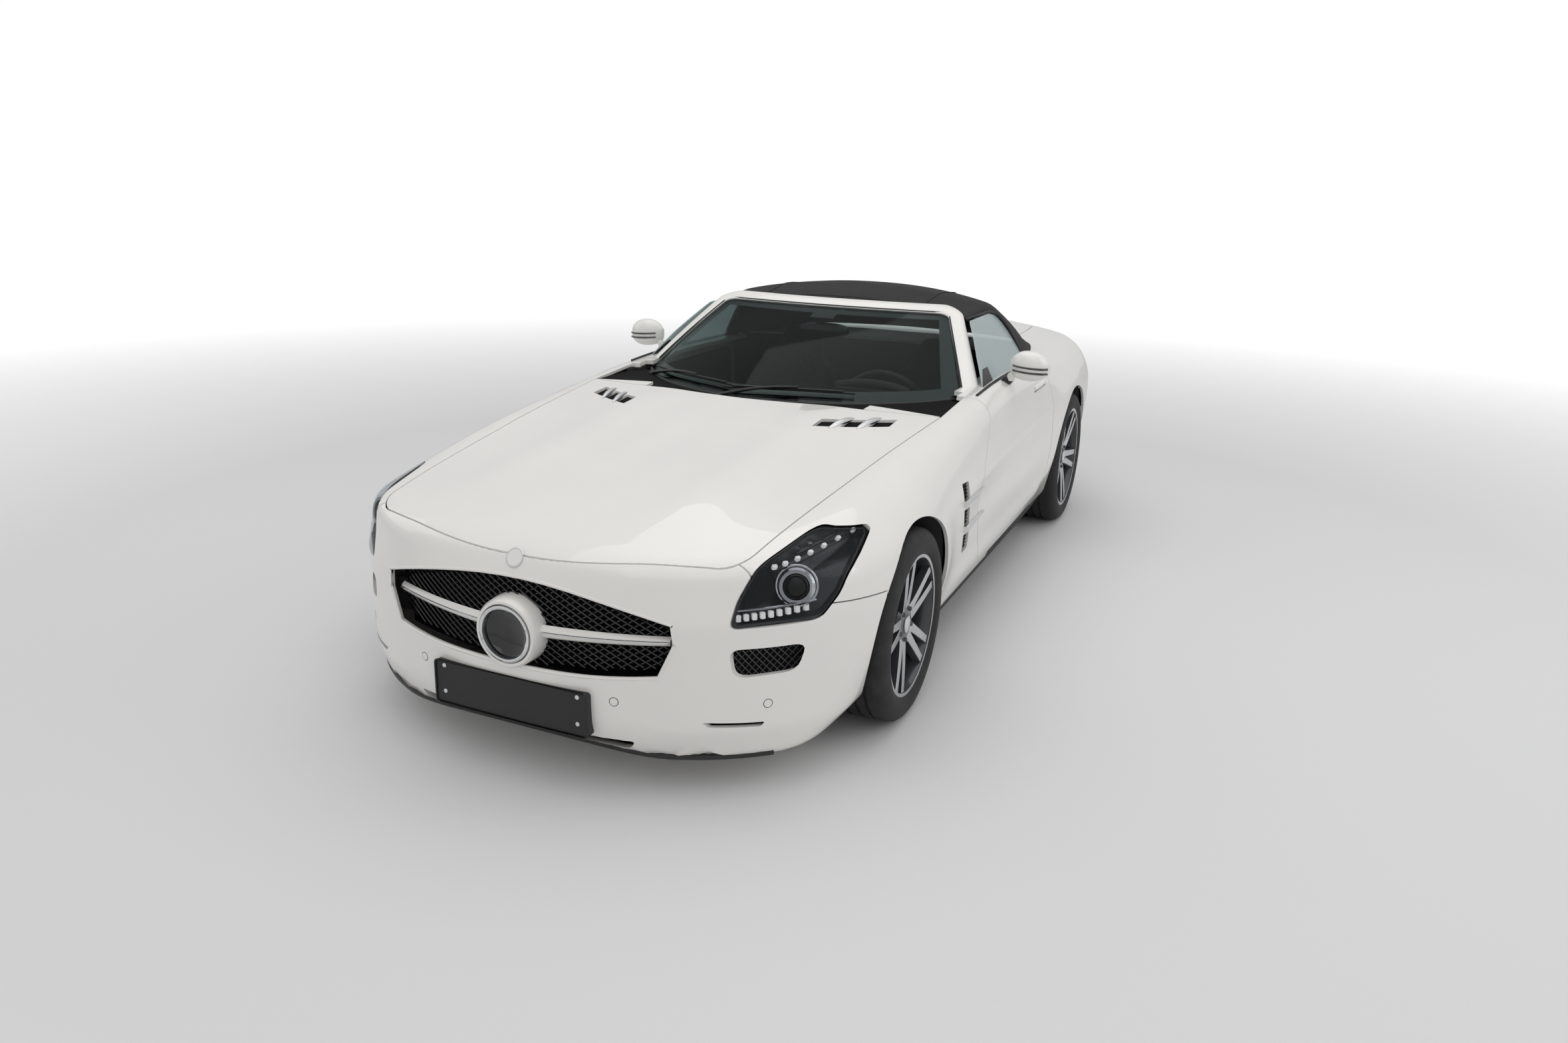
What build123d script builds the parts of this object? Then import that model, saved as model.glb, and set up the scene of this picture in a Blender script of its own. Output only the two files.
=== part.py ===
from build123d import *
import math
import os
from collections import namedtuple

os.makedirs("parts", exist_ok=True)

# Two-seat front-engined roadster with its fabric top up.
# Millimetres, Z up, nose towards -Y, the car's left side on +X,
# origin on the floor below the middle of the car.

# ---------------------------------------------------------------- overall
LENGTH = 4638
WHEELBASE = 2680
FRONT_OVERHANG = 985
NOSE_Y = -LENGTH / 2
TAIL_Y = LENGTH / 2
FRONT_AXLE_Y = NOSE_Y + FRONT_OVERHANG
REAR_AXLE_Y = FRONT_AXLE_Y + WHEELBASE
SKIN = 18
SEAT = 0.3
SHUT_GAP = 5
REACH = 3000

# ---------------------------------------------------------------- wheels
FRONT_TYRE_R = 334
FRONT_TYRE_W = 265
REAR_TYRE_R = 342.5
REAR_TYRE_W = 295
FRONT_WHEEL_X = 828
REAR_WHEEL_X = 815
FRONT_RIM_R = 241.3
REAR_RIM_R = 254
ARCH_GAP = 40
WELL_GAP = 58
LINER = 6
FRONT_WELL_X = 500
REAR_WELL_X = 640
KINGPIN_X = 788
DISC_R = 185
DISC_T = 32

# ---------------------------------------------------------------- body sections
Section = namedtuple(
    "Section",
    "y floor_x floor_z sill_x sill_z waist_x waist_z shoulder_x shoulder_z crown_z",
)
SECTIONS = (
    Section(-2400, 700, 118, 800, 200, 900, 540, 640, 660, 700),
    Section(-1950, 790, 118, 880, 212, 925, 560, 720, 740, 790),
    Section(-1334, 840, 124, 905, 222, 967, 600, 806, 812, 852),
    Section(-600, 850, 128, 903, 226, 945, 600, 838, 885, 918),
    Section(0, 850, 130, 903, 228, 938, 580, 850, 925, 952),
    Section(700, 850, 132, 903, 232, 945, 600, 842, 920, 948),
    Section(1346, 850, 140, 910, 240, 967, 660, 806, 908, 942),
    Section(1850, 800, 170, 880, 262, 940, 660, 770, 896, 946),
    Section(2400, 700, 215, 800, 300, 880, 640, 700, 880, 944),
)
SILL_BULGE = 14
SHOULDER_BULGE = 42
CROWN_BULGE = 14

# Plan outline of nose and tail (left half), with the way each point draws in.
PlanPoint = namedtuple("PlanPoint", "x y out_x out_y")
PLAN_POINTS = (
    PlanPoint(0, NOSE_Y, 0, -1),
    PlanPoint(260, NOSE_Y + 15, 0.12, -1),
    PlanPoint(495, NOSE_Y + 76, 0.35, -0.94),
    PlanPoint(700, NOSE_Y + 214, 0.65, -0.76),
    PlanPoint(840, NOSE_Y + 404, 0.85, -0.5),
    PlanPoint(935, NOSE_Y + 619, 0.93, -0.3),
    PlanPoint(1000, NOSE_Y + 919, 1, -0.1),
    PlanPoint(1000, TAIL_Y - 869, 1, 0.1),
    PlanPoint(950, TAIL_Y - 469, 0.97, 0.25),
    PlanPoint(868, TAIL_Y - 249, 0.85, 0.5),
    PlanPoint(770, TAIL_Y - 129, 0.6, 0.8),
    PlanPoint(590, TAIL_Y - 57, 0.3, 0.95),
    PlanPoint(300, TAIL_Y - 13, 0.1, 1),
    PlanPoint(0, TAIL_Y, 0, 1),
)
# Heights at which the outline is set, and how far it is drawn in there.
Level = namedtuple("Level", "z inset")
PLAN_LEVELS = (
    Level(80, 70),
    Level(230, 8),
    Level(560, 0),
    Level(1100, 150),
)


def plan_volume(inset):
    """Upright volume of the left half of the plan outline, drawn in by inset."""
    with BuildPart() as volume:
        for level in PLAN_LEVELS:
            draw_in = level.inset + inset
            points = [(p.x - draw_in * p.out_x, p.y - draw_in * p.out_y) for p in PLAN_POINTS]
            points[0] = (0, points[0][1])
            points[-1] = (0, points[-1][1])
            with BuildSketch(Plane.XY.offset(level.z)):
                with BuildLine():
                    for i in (0, 2, 4):
                        ThreePointArc(points[i], points[i + 1], points[i + 2])
                    Line(points[6], points[7])
                    for i in (7, 9, 11):
                        ThreePointArc(points[i], points[i + 1], points[i + 2])
                    Line(points[13], points[0])
                make_face()
        loft(ruled=True)
    return volume.part


def body_volume(inset):
    """Left half of the body below the windows as a closed volume, drawn in by inset."""
    with BuildPart() as volume:
        for s in SECTIONS:
            with BuildSketch(Plane.XZ.offset(-s.y)):
                with BuildLine():
                    floor = (s.floor_x - inset, s.floor_z + inset)
                    sill = (s.sill_x - inset, s.sill_z + inset / 2)
                    waist = (s.waist_x - inset, s.waist_z)
                    shoulder = (s.shoulder_x - inset / 2, s.shoulder_z - inset)
                    crown = (0, s.crown_z - inset)
                    Line((0, floor[1]), floor)
                    Line(floor, sill)
                    SagittaArc(sill, waist, -SILL_BULGE)
                    SagittaArc(waist, shoulder, -SHOULDER_BULGE)
                    SagittaArc(shoulder, crown, -CROWN_BULGE)
                    Line(crown, (0, floor[1]))
                make_face()
        loft(ruled=True)
        # nose and tail in plan, drawn in towards the bonnet and the chin
        add(plan_volume(inset), mode=Mode.INTERSECT)
        # nose and tail seen from the side
        with BuildSketch(Plane.YZ):
            with BuildLine():
                Polyline(
                    (-2160, 90),
                    (-2290, 190),
                    (-2319, 300),
                    (-2319, 500),
                )
                ThreePointArc((-2319, 500), (-2302, 610), (-2258, 706))
                ThreePointArc((-2258, 706), (-2150, 770), (-1900, 860))
                Polyline(
                    (-1900, 860),
                    (-1900, 1100),
                    (2200, 1100),
                    (2262, 960),
                    (2252, 860),
                    (2300, 680),
                    (2319, 560),
                    (2319, 430),
                    (2230, 230),
                    (2100, 90),
                    (-2160, 90),
                )
            make_face()
            if inset:
                offset(amount=-inset, kind=Kind.INTERSECTION)
        extrude(amount=REACH, mode=Mode.INTERSECT)
    return volume.part



def side_prism(points, near_x=0, far_x=1200):
    """Prism of a side-view outline, given as (y, z) points, between two x values."""
    with BuildPart() as prism:
        with BuildSketch(Plane.YZ.offset(near_x)):
            with BuildLine():
                Polyline(*points, close=True)
            make_face()
        extrude(amount=far_x - near_x)
    return prism.part


def plan_prism(points, low_z=0, high_z=1500):
    """Prism of a plan outline, given as (x, y) points, between two heights."""
    with BuildPart() as prism:
        with BuildSketch(Plane.XY.offset(low_z)):
            with BuildLine():
                Polyline(*points, close=True)
            make_face()
        extrude(amount=high_z - low_z)
    return prism.part


def front_prism(points, near_y, far_y, rounding=0):
    """Prism of a front-view outline, given as (x, z) points, between two y values."""
    with BuildPart() as prism:
        with BuildSketch(Plane.XZ.offset(-near_y)) as outline:
            with BuildLine():
                Polyline(*points, close=True)
            make_face()
            if rounding:
                fillet(outline.vertices(), rounding)
        extrude(amount=near_y - far_y)
    return prism.part


def block(x, y, z):
    """Plain block between two values on each axis."""
    with BuildPart() as part:
        with Locations(((x[0] + x[1]) / 2, (y[0] + y[1]) / 2, (z[0] + z[1]) / 2)):
            Box(x[1] - x[0], y[1] - y[0], z[1] - z[0])
    return part.part


def across(radius, axle_y, axle_z, near_x, far_x):
    """Cylinder that lies across the car, between two x values."""
    with BuildPart() as part:
        with BuildSketch(Plane.YZ.offset(near_x)):
            with Locations((axle_y, axle_z)):
                Circle(radius)
        extrude(amount=far_x - near_x)
    return part.part


def finish(shape, label):
    """Name a finished piece and write it."""
    shape.label = label
    export_step(shape, f"parts/{label}.step")


def finish_pair(shape, label):
    """Write a left piece and its mirror image on the right."""
    finish(shape, f"{label}_left")
    with BuildPart() as other:
        mirror(shape, about=Plane.YZ)
    finish(other.part, f"{label}_right")


outer = body_volume(0)
inner = body_volume(SKIN)
core = body_volume(SKIN + SEAT)
with BuildPart() as shell:
    add(outer)
    add(inner, mode=Mode.SUBTRACT)

# ---------------------------------------------------------------- shut lines
# Bonnet outline in plan: front arc, side arc, rear arc.
HOOD_NOSE_Y = -2222
HOOD_CORNER = (597, -1974)
HOOD_SIDE = (705, -1512)
HOOD_HEEL = (782, -578)
HOOD_REAR_Y = -690


def hood_prism(clearance):
    with BuildPart() as prism:
        with BuildSketch(Plane.XY.offset(500)):
            with BuildLine():
                ThreePointArc((0, HOOD_NOSE_Y), (335, -2152), HOOD_CORNER)
                ThreePointArc(HOOD_CORNER, HOOD_SIDE, HOOD_HEEL)
                ThreePointArc(HOOD_HEEL, (400, -662), (0, HOOD_REAR_Y))
                Line((0, HOOD_REAR_Y), (0, HOOD_NOSE_Y))
            make_face()
            mirror(about=Plane.YZ)
            if clearance:
                offset(amount=clearance, kind=Kind.INTERSECTION)
        extrude(amount=900)
    return prism.part


# Door outline in side view, drawn in towards the cabin by its taper.
DOOR_INNER_X = 790
DOOR_FRONT = ((-235, 1000), (-300, 800), (-420, 590), (-425, 470), (-330, 300), (-290, 246))
DOOR_REAR = ((770, 246), (850, 330), (885, 560), (865, 800), (840, 1000))
DOOR_TAPER = 8


def door_prism(clearance):
    with BuildPart() as prism:
        with BuildSketch(Plane.YZ.offset(1000)):
            with BuildLine():
                Polyline(*DOOR_FRONT, *DOOR_REAR, close=True)
            make_face()
            if clearance:
                offset(amount=clearance, kind=Kind.INTERSECTION)
        extrude(amount=-(1000 - DOOR_INNER_X + 100), taper=DOOR_TAPER)
    return prism.part


LAMP_OUTLINE = (
    (649, 557), (860, 581), (925, 640), (925, 705), (863, 748), (760, 737), (690, 722), (625, 650),
)
LAMP_BACK = ((560, -2500), (1100, -2500), (1100, -1640), (890, -1640), (640, -1880), (560, -1900))
with BuildPart() as lamp_hole:
    add(front_prism(LAMP_OUTLINE, -1600, -2500, 14))

hood_hole = hood_prism(0)
door_hole = door_prism(SHUT_GAP)
front_arch = across(FRONT_TYRE_R + ARCH_GAP, FRONT_AXLE_Y, FRONT_TYRE_R, 480, 1100)
rear_arch = across(REAR_TYRE_R + ARCH_GAP, REAR_AXLE_Y, REAR_TYRE_R, 620, 1100)

# ---------------------------------------------------------------- bonnet
# Row of slots in each of the bonnet's two vents, from the middle outwards.
VENT_X = 405
VENT_Y = -918
VENT_PITCH = (88, 59)
VENT_SLOT = (68, 100)
VENT_LEAN = 46
VENTS = 3
with BuildPart() as hood:
    add(shell.part)
    add(hood_prism(-SHUT_GAP), mode=Mode.INTERSECT)
    for i in range(VENTS):
        x = VENT_X + i * VENT_PITCH[0]
        y = VENT_Y + i * VENT_PITCH[1]
        slot = plan_prism(
            (
                (x, y - VENT_SLOT[1] / 2),
                (x + VENT_SLOT[0], y - VENT_SLOT[1] / 2 + VENT_LEAN),
                (x + VENT_SLOT[0], y + VENT_SLOT[1] / 2 + VENT_LEAN),
                (x, y + VENT_SLOT[1] / 2),
            ),
            700,
        )
        add(slot, mode=Mode.SUBTRACT)
    mirror(about=Plane.YZ)
finish(hood.part, "hood")

# ---------------------------------------------------------------- front wings
SILL_TOP = 236
FENDER = (
    (-1640, SILL_TOP), (-1640, 562), (-1905, 602), (-2010, 660), (-2010, 990), (-120, 990), (-120, SILL_TOP),
)
# Centres of the three openings of the side vent, as (y, z).
SIDE_VENTS = ((-742, 655), (-712, 548), (-682, 441))
with BuildPart() as fender:
    add(shell.part)
    add(side_prism(FENDER, 400), mode=Mode.INTERSECT)
    for y, z in SIDE_VENTS:
        slot = side_prism(((y - 30, z + 40), (y + 26, z + 32), (y + 40, z - 34), (y - 4, z - 34)), 700)
        add(slot, mode=Mode.SUBTRACT)
    add(hood_hole, mode=Mode.SUBTRACT)
    add(block((0, HOOD_HEEL[0]), (-800, 0), (700, 1200)), mode=Mode.SUBTRACT)
    add(lamp_hole.part, mode=Mode.SUBTRACT)
    add(front_arch, mode=Mode.SUBTRACT)
    add(door_hole, mode=Mode.SUBTRACT)
finish_pair(fender.part.solids().sort_by(SortBy.VOLUME)[-1], "fender")

# ---------------------------------------------------------------- front bumper and grille
MOUTH_SIDE_X = 500
MOUTH_TOP_Z = 640
MOUTH_BOTTOM_Z = 380
BUMPER_SEAM_Y = -1644
with BuildPart() as mouth:
    with BuildSketch(Plane.XZ.offset(1900)):
        with BuildLine():
            ThreePointArc((-MOUTH_SIDE_X, 548), (0, MOUTH_TOP_Z), (MOUTH_SIDE_X, 548))
            Line((MOUTH_SIDE_X, 548), (MOUTH_SIDE_X + 5, 500))
            Line((MOUTH_SIDE_X + 5, 500), (470, 416))
            ThreePointArc((470, 416), (0, MOUTH_BOTTOM_Z), (-470, 416))
            Line((-470, 416), (-MOUTH_SIDE_X - 5, 500))
            Line((-MOUTH_SIDE_X - 5, 500), (-MOUTH_SIDE_X, 548))
        make_face()
    extrude(amount=600)
INTAKE = ((640, 512), (770, 486), (850, 430), (820, 340), (690, 352))
LOWER_SLOT = ((-400, 186), (400, 186), (370, 150), (-370, 150))
FENDER_NOSE = ((-1600, 559), (-1640, 559), (-1905, 599), (-2013, 657), (-2013, 990), (-1600, 990))
# Bare holder for the number plate.
PLATE_HOLDER_W = 554
PLATE_HOLDER_Z = (197, 338)
with BuildPart() as front_bumper:
    add(shell.part)
    add(block((-1100, 1100), (-2400, BUMPER_SEAM_Y), (0, 1000)), mode=Mode.INTERSECT)
    add(hood_hole, mode=Mode.SUBTRACT)
    add(mouth.part, mode=Mode.SUBTRACT)
    add(block((0, PLATE_HOLDER_W / 2), (NOSE_Y, NOSE_Y + 2 * SKIN), PLATE_HOLDER_Z))
    add(front_prism(LOWER_SLOT, -1900, -2500, 12), mode=Mode.SUBTRACT)
    add(front_prism(INTAKE, -1750, -2500, 18), mode=Mode.SUBTRACT)
    add(lamp_hole.part, mode=Mode.SUBTRACT)
    add(front_arch, mode=Mode.SUBTRACT)
    add(side_prism(FENDER_NOSE, 400), mode=Mode.SUBTRACT)
    mirror(about=Plane.YZ)
finish(front_bumper.part.solids().sort_by(SortBy.VOLUME)[-1], "front_bumper")

# ---------------------------------------------------------------- head lamps
with BuildPart() as headlamp:
    add(core)
    add(front_prism([(x, z) for x, z in LAMP_OUTLINE], -1600, -2500, 14), mode=Mode.INTERSECT)
    add(plan_prism(LAMP_BACK), mode=Mode.INTERSECT)
    add(hood_hole, mode=Mode.SUBTRACT)
    add(across(FRONT_TYRE_R + WELL_GAP + 2 * LINER, FRONT_AXLE_Y, FRONT_TYRE_R, 400, 1100), mode=Mode.SUBTRACT)
finish_pair(headlamp.part.solids().sort_by(SortBy.VOLUME)[-1], "headlamp")

# ---------------------------------------------------------------- doors
with BuildPart() as door:
    add(outer)
    add(door_prism(0), mode=Mode.INTERSECT)
    add(block((DOOR_INNER_X, 1200), (-600, 1000), (200, 1200)), mode=Mode.INTERSECT)
finish_pair(door.part.solids().sort_by(SortBy.VOLUME)[-1], "door")

# ---------------------------------------------------------------- rear body
TRUNK = ((0, 1490), (540, 1505), (570, 1560), (560, 1900), (520, 2400), (0, 2400))
TRUNK_REAR_Z = 715
DECK = ((0, 990), (700, 990), (700, 1420), (560, 1485), (0, 1485))
REAR_BUMPER = ((1640, 100), (1640, 560), (1760, 590), (2400, 600), (2400, 100))
REAR_PANEL_X = 430
TAIL_LAMP = ((455, 738), (600, 712), (905, 742), (915, 800), (860, 826), (440, 800))
with BuildPart() as trunk_hole:
    add(plan_prism(TRUNK, TRUNK_REAR_Z, 1200))
    mirror(about=Plane.YZ)
with BuildPart() as deck_hole:
    add(plan_prism(DECK, 700, 1200))
    mirror(about=Plane.YZ)
tail_lamp_hole = front_prism(TAIL_LAMP, 2400, 1960, 10)

QUARTER = (
    (700, SILL_TOP), (1640, SILL_TOP), (1640, 563), (1760, 593), (2400, 603), (2400, 1000), (700, 1000),
)
with BuildPart() as quarter:
    add(shell.part)
    add(side_prism(QUARTER, 0), mode=Mode.INTERSECT)
    add(deck_hole.part, mode=Mode.SUBTRACT)
    add(trunk_hole.part, mode=Mode.SUBTRACT)
    add(tail_lamp_hole, mode=Mode.SUBTRACT)
    add(rear_arch, mode=Mode.SUBTRACT)
    add(door_hole, mode=Mode.SUBTRACT)
    add(block((-10, 700), (600, 1000), (800, 1200)), mode=Mode.SUBTRACT)
    add(block((-10, REAR_PANEL_X + SHUT_GAP), (1500, 2400), (500, TRUNK_REAR_Z)), mode=Mode.SUBTRACT)
finish_pair(quarter.part.solids().sort_by(SortBy.VOLUME)[-1], "quarter")

PIPE_HOLE = ((365, 248), (365, 325), (625, 325), (625, 248))
with BuildPart() as rear_region:
    add(side_prism(REAR_BUMPER, -1200, 1200))
    add(block((-REAR_PANEL_X, REAR_PANEL_X), (2000, 2400), (400, TRUNK_REAR_Z)))
with BuildPart() as rear_bumper:
    add(shell.part)
    add(rear_region.part, mode=Mode.INTERSECT)
    add(rear_arch, mode=Mode.SUBTRACT)
    add(front_prism(PIPE_HOLE, 2400, 2050, 24), mode=Mode.SUBTRACT)
    mirror(about=Plane.YZ)
finish(rear_bumper.part.solids().sort_by(SortBy.VOLUME)[-1], "rear_bumper")

with BuildPart() as trunk_lid:
    add(shell.part)
    with BuildSketch(Plane.XY.offset(TRUNK_REAR_Z + SHUT_GAP)):
        with BuildLine():
            Polyline(*TRUNK, close=True)
        make_face()
        mirror(about=Plane.YZ)
        offset(amount=-SHUT_GAP, kind=Kind.INTERSECTION)
    extrude(amount=500, mode=Mode.INTERSECT)
    mirror(about=Plane.YZ)
finish(trunk_lid.part, "trunk_lid")

with BuildPart() as rear_deck:
    add(shell.part)
    with BuildSketch(Plane.XY.offset(760)):
        with BuildLine():
            Polyline(*DECK, close=True)
        make_face()
        mirror(about=Plane.YZ)
        offset(amount=-SEAT, kind=Kind.INTERSECTION)
    extrude(amount=500, mode=Mode.INTERSECT)
    mirror(about=Plane.YZ)
finish(rear_deck.part, "rear_deck")

with BuildPart() as tail_lamp:
    add(core)
    add(front_prism(TAIL_LAMP, 2400, 2030, 10), mode=Mode.INTERSECT)
    add(plan_prism(((300, 2140), (800, 2060), (1000, 1960), (1000, 2400), (300, 2400))), mode=Mode.INTERSECT)
finish_pair(tail_lamp.part.solids().sort_by(SortBy.VOLUME)[-1], "tail_lamp")

# ---------------------------------------------------------------- grille
GRILLE_Y = -2215
GRILLE_T = 14
GRILLE_FRAME = 8
MESH_PITCH = (40, 56)
MESH_HOLE = (30, 44)
BOSS_R = 92
BOSS_Z = 478
BAR_H = 26


def mouth_outline(grow):
    """Mouth of the bumper as a volume along the car, made larger all round by grow."""
    side = MOUTH_SIDE_X + grow
    with BuildPart() as volume:
        with BuildSketch(Plane.XZ.offset(-GRILLE_Y - GRILLE_T)):
            with BuildLine():
                ThreePointArc((-side, 548 + grow), (0, MOUTH_TOP_Z + grow), (side, 548 + grow))
                Line((side, 548 + grow), (side + 5, 500))
                Line((side + 5, 500), (470 + grow, 416 - grow))
                ThreePointArc((470 + grow, 416 - grow), (0, MOUTH_BOTTOM_Z - grow), (-470 - grow, 416 - grow))
                Line((-470 - grow, 416 - grow), (-side - 5, 500))
                Line((-side - 5, 500), (-side, 548 + grow))
            make_face()
        extrude(amount=200)
    return volume.part


with BuildPart() as diamonds:
    # two interleaved rows of diamond holes
    with BuildSketch(Plane.XZ.offset(-GRILLE_Y)):
        for shift in (0, 0.5):
            with Locations((shift * MESH_PITCH[0], MOUTH_BOTTOM_Z + 130 + shift * MESH_PITCH[1])):
                with GridLocations(*MESH_PITCH, 25, 5):
                    Polygon(
                        (-MESH_HOLE[0] / 2, 0), (0, -MESH_HOLE[1] / 2), (MESH_HOLE[0] / 2, 0), (0, MESH_HOLE[1] / 2),
                    )
    extrude(amount=-2 * GRILLE_T)
with BuildPart() as mesh_panel:
    # diamond mesh that fills the frame
    add(mouth_outline(0))
    add(block((-700, 700), (GRILLE_Y, GRILLE_Y + GRILLE_T), (0, 900)), mode=Mode.INTERSECT)
    add(diamonds.part, mode=Mode.SUBTRACT)
with BuildPart() as grille:
    # frame that seats behind the bumper's mouth
    add(mouth_outline(GRILLE_FRAME))
    add(mouth_outline(-GRILLE_FRAME), mode=Mode.SUBTRACT)
    # room for the boss where it crosses the frame
    with BuildSketch(Plane.XZ.offset(-GRILLE_Y)):
        with Locations((0, BOSS_Z)):
            Circle(BOSS_R + SEAT)
    extrude(amount=200, mode=Mode.SUBTRACT)
    add(mesh_panel.part)
    add(core, mode=Mode.INTERSECT)
    mirror(about=Plane.YZ)
with BuildPart() as grille_bar:
    # wing bar with the round boss that carries the dish
    with BuildSketch(Plane.XZ.offset(-GRILLE_Y)):
        with Locations((0, BOSS_Z)):
            Rectangle(860, BAR_H)
    extrude(amount=40)
    with BuildSketch(Plane.XZ.offset(-GRILLE_Y)):
        with Locations((0, BOSS_Z)):
            Circle(BOSS_R)
    extrude(amount=70)
    with BuildSketch(Plane.XZ.offset(-GRILLE_Y + 70)):
        with Locations((0, BOSS_Z)):
            Circle(BOSS_R - 16)
    extrude(amount=-12, mode=Mode.SUBTRACT)
finish(grille.part, "grille")
finish(grille_bar.part, "grille_bar")

# ---------------------------------------------------------------- windscreen and its frame
COWL_Z = 892
GLASS_LOW = ((750, -134), (0, -614), COWL_Z + SEAT)
GLASS_HIGH = ((551, 273), (0, 225), 1188)
GLASS_RUN = 13
with BuildPart() as windshield:
    for corner, middle, z in (GLASS_LOW, GLASS_HIGH):
        with BuildSketch(Plane.XY.offset(z)):
            with BuildLine():
                back = (corner[0], corner[1] + GLASS_RUN)
                ThreePointArc((-corner[0], corner[1]), middle, corner)
                Line(corner, back)
                ThreePointArc(back, (0, middle[1] + GLASS_RUN), (-back[0], back[1]))
                Line((-back[0], back[1]), (-corner[0], corner[1]))
            make_face()
    loft(ruled=True)
finish(windshield.part, "windshield")

PILLAR_FOOT = ((752, -136), (776, -190), (781, -120), (766, -62))
PILLAR_HEAD = ((553, 272), (604, 262), (626, 392), (566, 402))
HEADER_FRONT = ((626, 300), (0, 243))
HEADER_REAR = ((626, 392), (0, 330))
with BuildPart() as windshield_frame:
    for points, z in ((PILLAR_FOOT, COWL_Z + SEAT), (PILLAR_HEAD, 1186)):
        with BuildSketch(Plane.XY.offset(z)):
            with BuildLine():
                Polyline(*points, close=True)
            make_face()
    loft(ruled=True)
    mirror(about=Plane.YZ)
    with BuildSketch(Plane.XY.offset(1120)):
        with BuildLine():
            ThreePointArc((-565, 294), (0, HEADER_FRONT[1][1]), (565, 294))
            Line((565, 294), (590, 396))
            ThreePointArc((590, 396), (0, HEADER_REAR[1][1]), (-590, 396))
            Line((-590, 396), (-565, 294))
        make_face()
    extrude(amount=120)
    # crown of the header: a cylinder that lies along the car cuts it above and below
    with BuildSketch(Plane.XZ.offset(-200)):
        with BuildLine():
            ThreePointArc((-640, 1164), (0, 1214), (640, 1164))
            Line((640, 1164), (810, 1140))
            Line((810, 1140), (840, 880))
            Line((840, 880), (700, 880))
            Line((700, 880), (560, 1140))
            ThreePointArc((560, 1140), (0, 1176), (-560, 1140))
            Line((-560, 1140), (-700, 880))
            Line((-700, 880), (-840, 880))
            Line((-840, 880), (-810, 1140))
            Line((-810, 1140), (-640, 1164))
        make_face()
    extrude(amount=400, both=True, mode=Mode.INTERSECT)
finish(windshield_frame.part.solids().sort_by(SortBy.VOLUME)[-1], "windshield_frame")

# ---------------------------------------------------------------- soft top and rear window
RoofSection = namedtuple("RoofSection", "y base_x base_z edge_x edge_z crown_z")
ROOF_SECTIONS = (
    RoofSection(322, 622, 1120, 606, 1164, 1216),
    RoofSection(632, 628, 1120, 604, 1196, 1262),
    RoofSection(850, 648, 1080, 592, 1198, 1248),
    RoofSection(1100, 712, 906, 585, 1085, 1148),
    RoofSection(1432, 706, 925, 560, 944, 962),
)
ROOF_T = 20
ROOF_SKIRT = 30


def roof_volume(inset):
    with BuildPart() as volume:
        for s in ROOF_SECTIONS:
            with BuildSketch(Plane.XZ.offset(-s.y)):
                with BuildLine():
                    low = s.base_z - ROOF_SKIRT - 2 * inset
                    Line((0, low), (s.base_x - inset, low))
                    Line((s.base_x - inset, low), (s.base_x - inset, s.base_z))
                    SagittaArc((s.base_x - inset, s.base_z), (s.edge_x - inset, s.edge_z - inset / 2), -6)
                    SagittaArc((s.edge_x - inset, s.edge_z - inset / 2), (0, s.crown_z - inset), -10)
                    Line((0, s.crown_z - inset), (0, low))
                make_face()
        loft()
    return volume.part


ROOF_SIDE = (
    (300, 1166), (632, 1186), (800, 1192), (862, 1176), (960, 1070), (1050, 930), (1072, 880),
    (1500, 880), (1500, 1300), (300, 1300),
)
WINDOW_PLAN = ((-470, 965), (470, 965), (520, 1265), (-520, 1265))
with BuildPart() as roof_shell:
    add(roof_volume(0))
    add(roof_volume(ROOF_T), mode=Mode.SUBTRACT)
    add(side_prism(ROOF_SIDE, -1200, 1200), mode=Mode.INTERSECT)
    add(outer, mode=Mode.SUBTRACT)
with BuildPart() as window_hole:
    with BuildSketch(Plane.XY.offset(900)) as window_plan:
        with BuildLine():
            Polyline(*WINDOW_PLAN, close=True)
        make_face()
        fillet(window_plan.vertices(), 60)
    extrude(amount=400)
with BuildPart() as soft_top:
    add(roof_shell.part)
    add(window_hole.part, mode=Mode.SUBTRACT)
    add(windshield_frame.part, mode=Mode.SUBTRACT)
    mirror(about=Plane.YZ)
with BuildPart() as rear_window:
    add(roof_volume(6))
    add(roof_volume(12), mode=Mode.SUBTRACT)
    add(window_hole.part, mode=Mode.INTERSECT)
    mirror(about=Plane.YZ)
finish(soft_top.part.solids().sort_by(SortBy.VOLUME)[-1], "soft_top")
finish(rear_window.part.solids().sort_by(SortBy.VOLUME)[-1], "rear_window")

# ---------------------------------------------------------------- side glass
GLASS_SIDE = ((-95, 900), (395, 1160), (632, 1182), (790, 1188), (850, 1172), (950, 1064), (1036, 930), (1040, 900))
with BuildPart() as side_glass:
    with BuildSketch(Plane.XZ.offset(-1100)):
        with BuildLine():
            SagittaArc((824, 890), (618, 1200), -14)
            Line((618, 1200), (613, 1200))
            SagittaArc((613, 1200), (819, 890), 14)
            Line((819, 890), (824, 890))
        make_face()
    extrude(amount=1300)
    add(side_prism(GLASS_SIDE, 400), mode=Mode.INTERSECT)
    add(outer, mode=Mode.SUBTRACT)
finish_pair(side_glass.part.solids().sort_by(SortBy.VOLUME)[-1], "side_glass")

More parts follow.
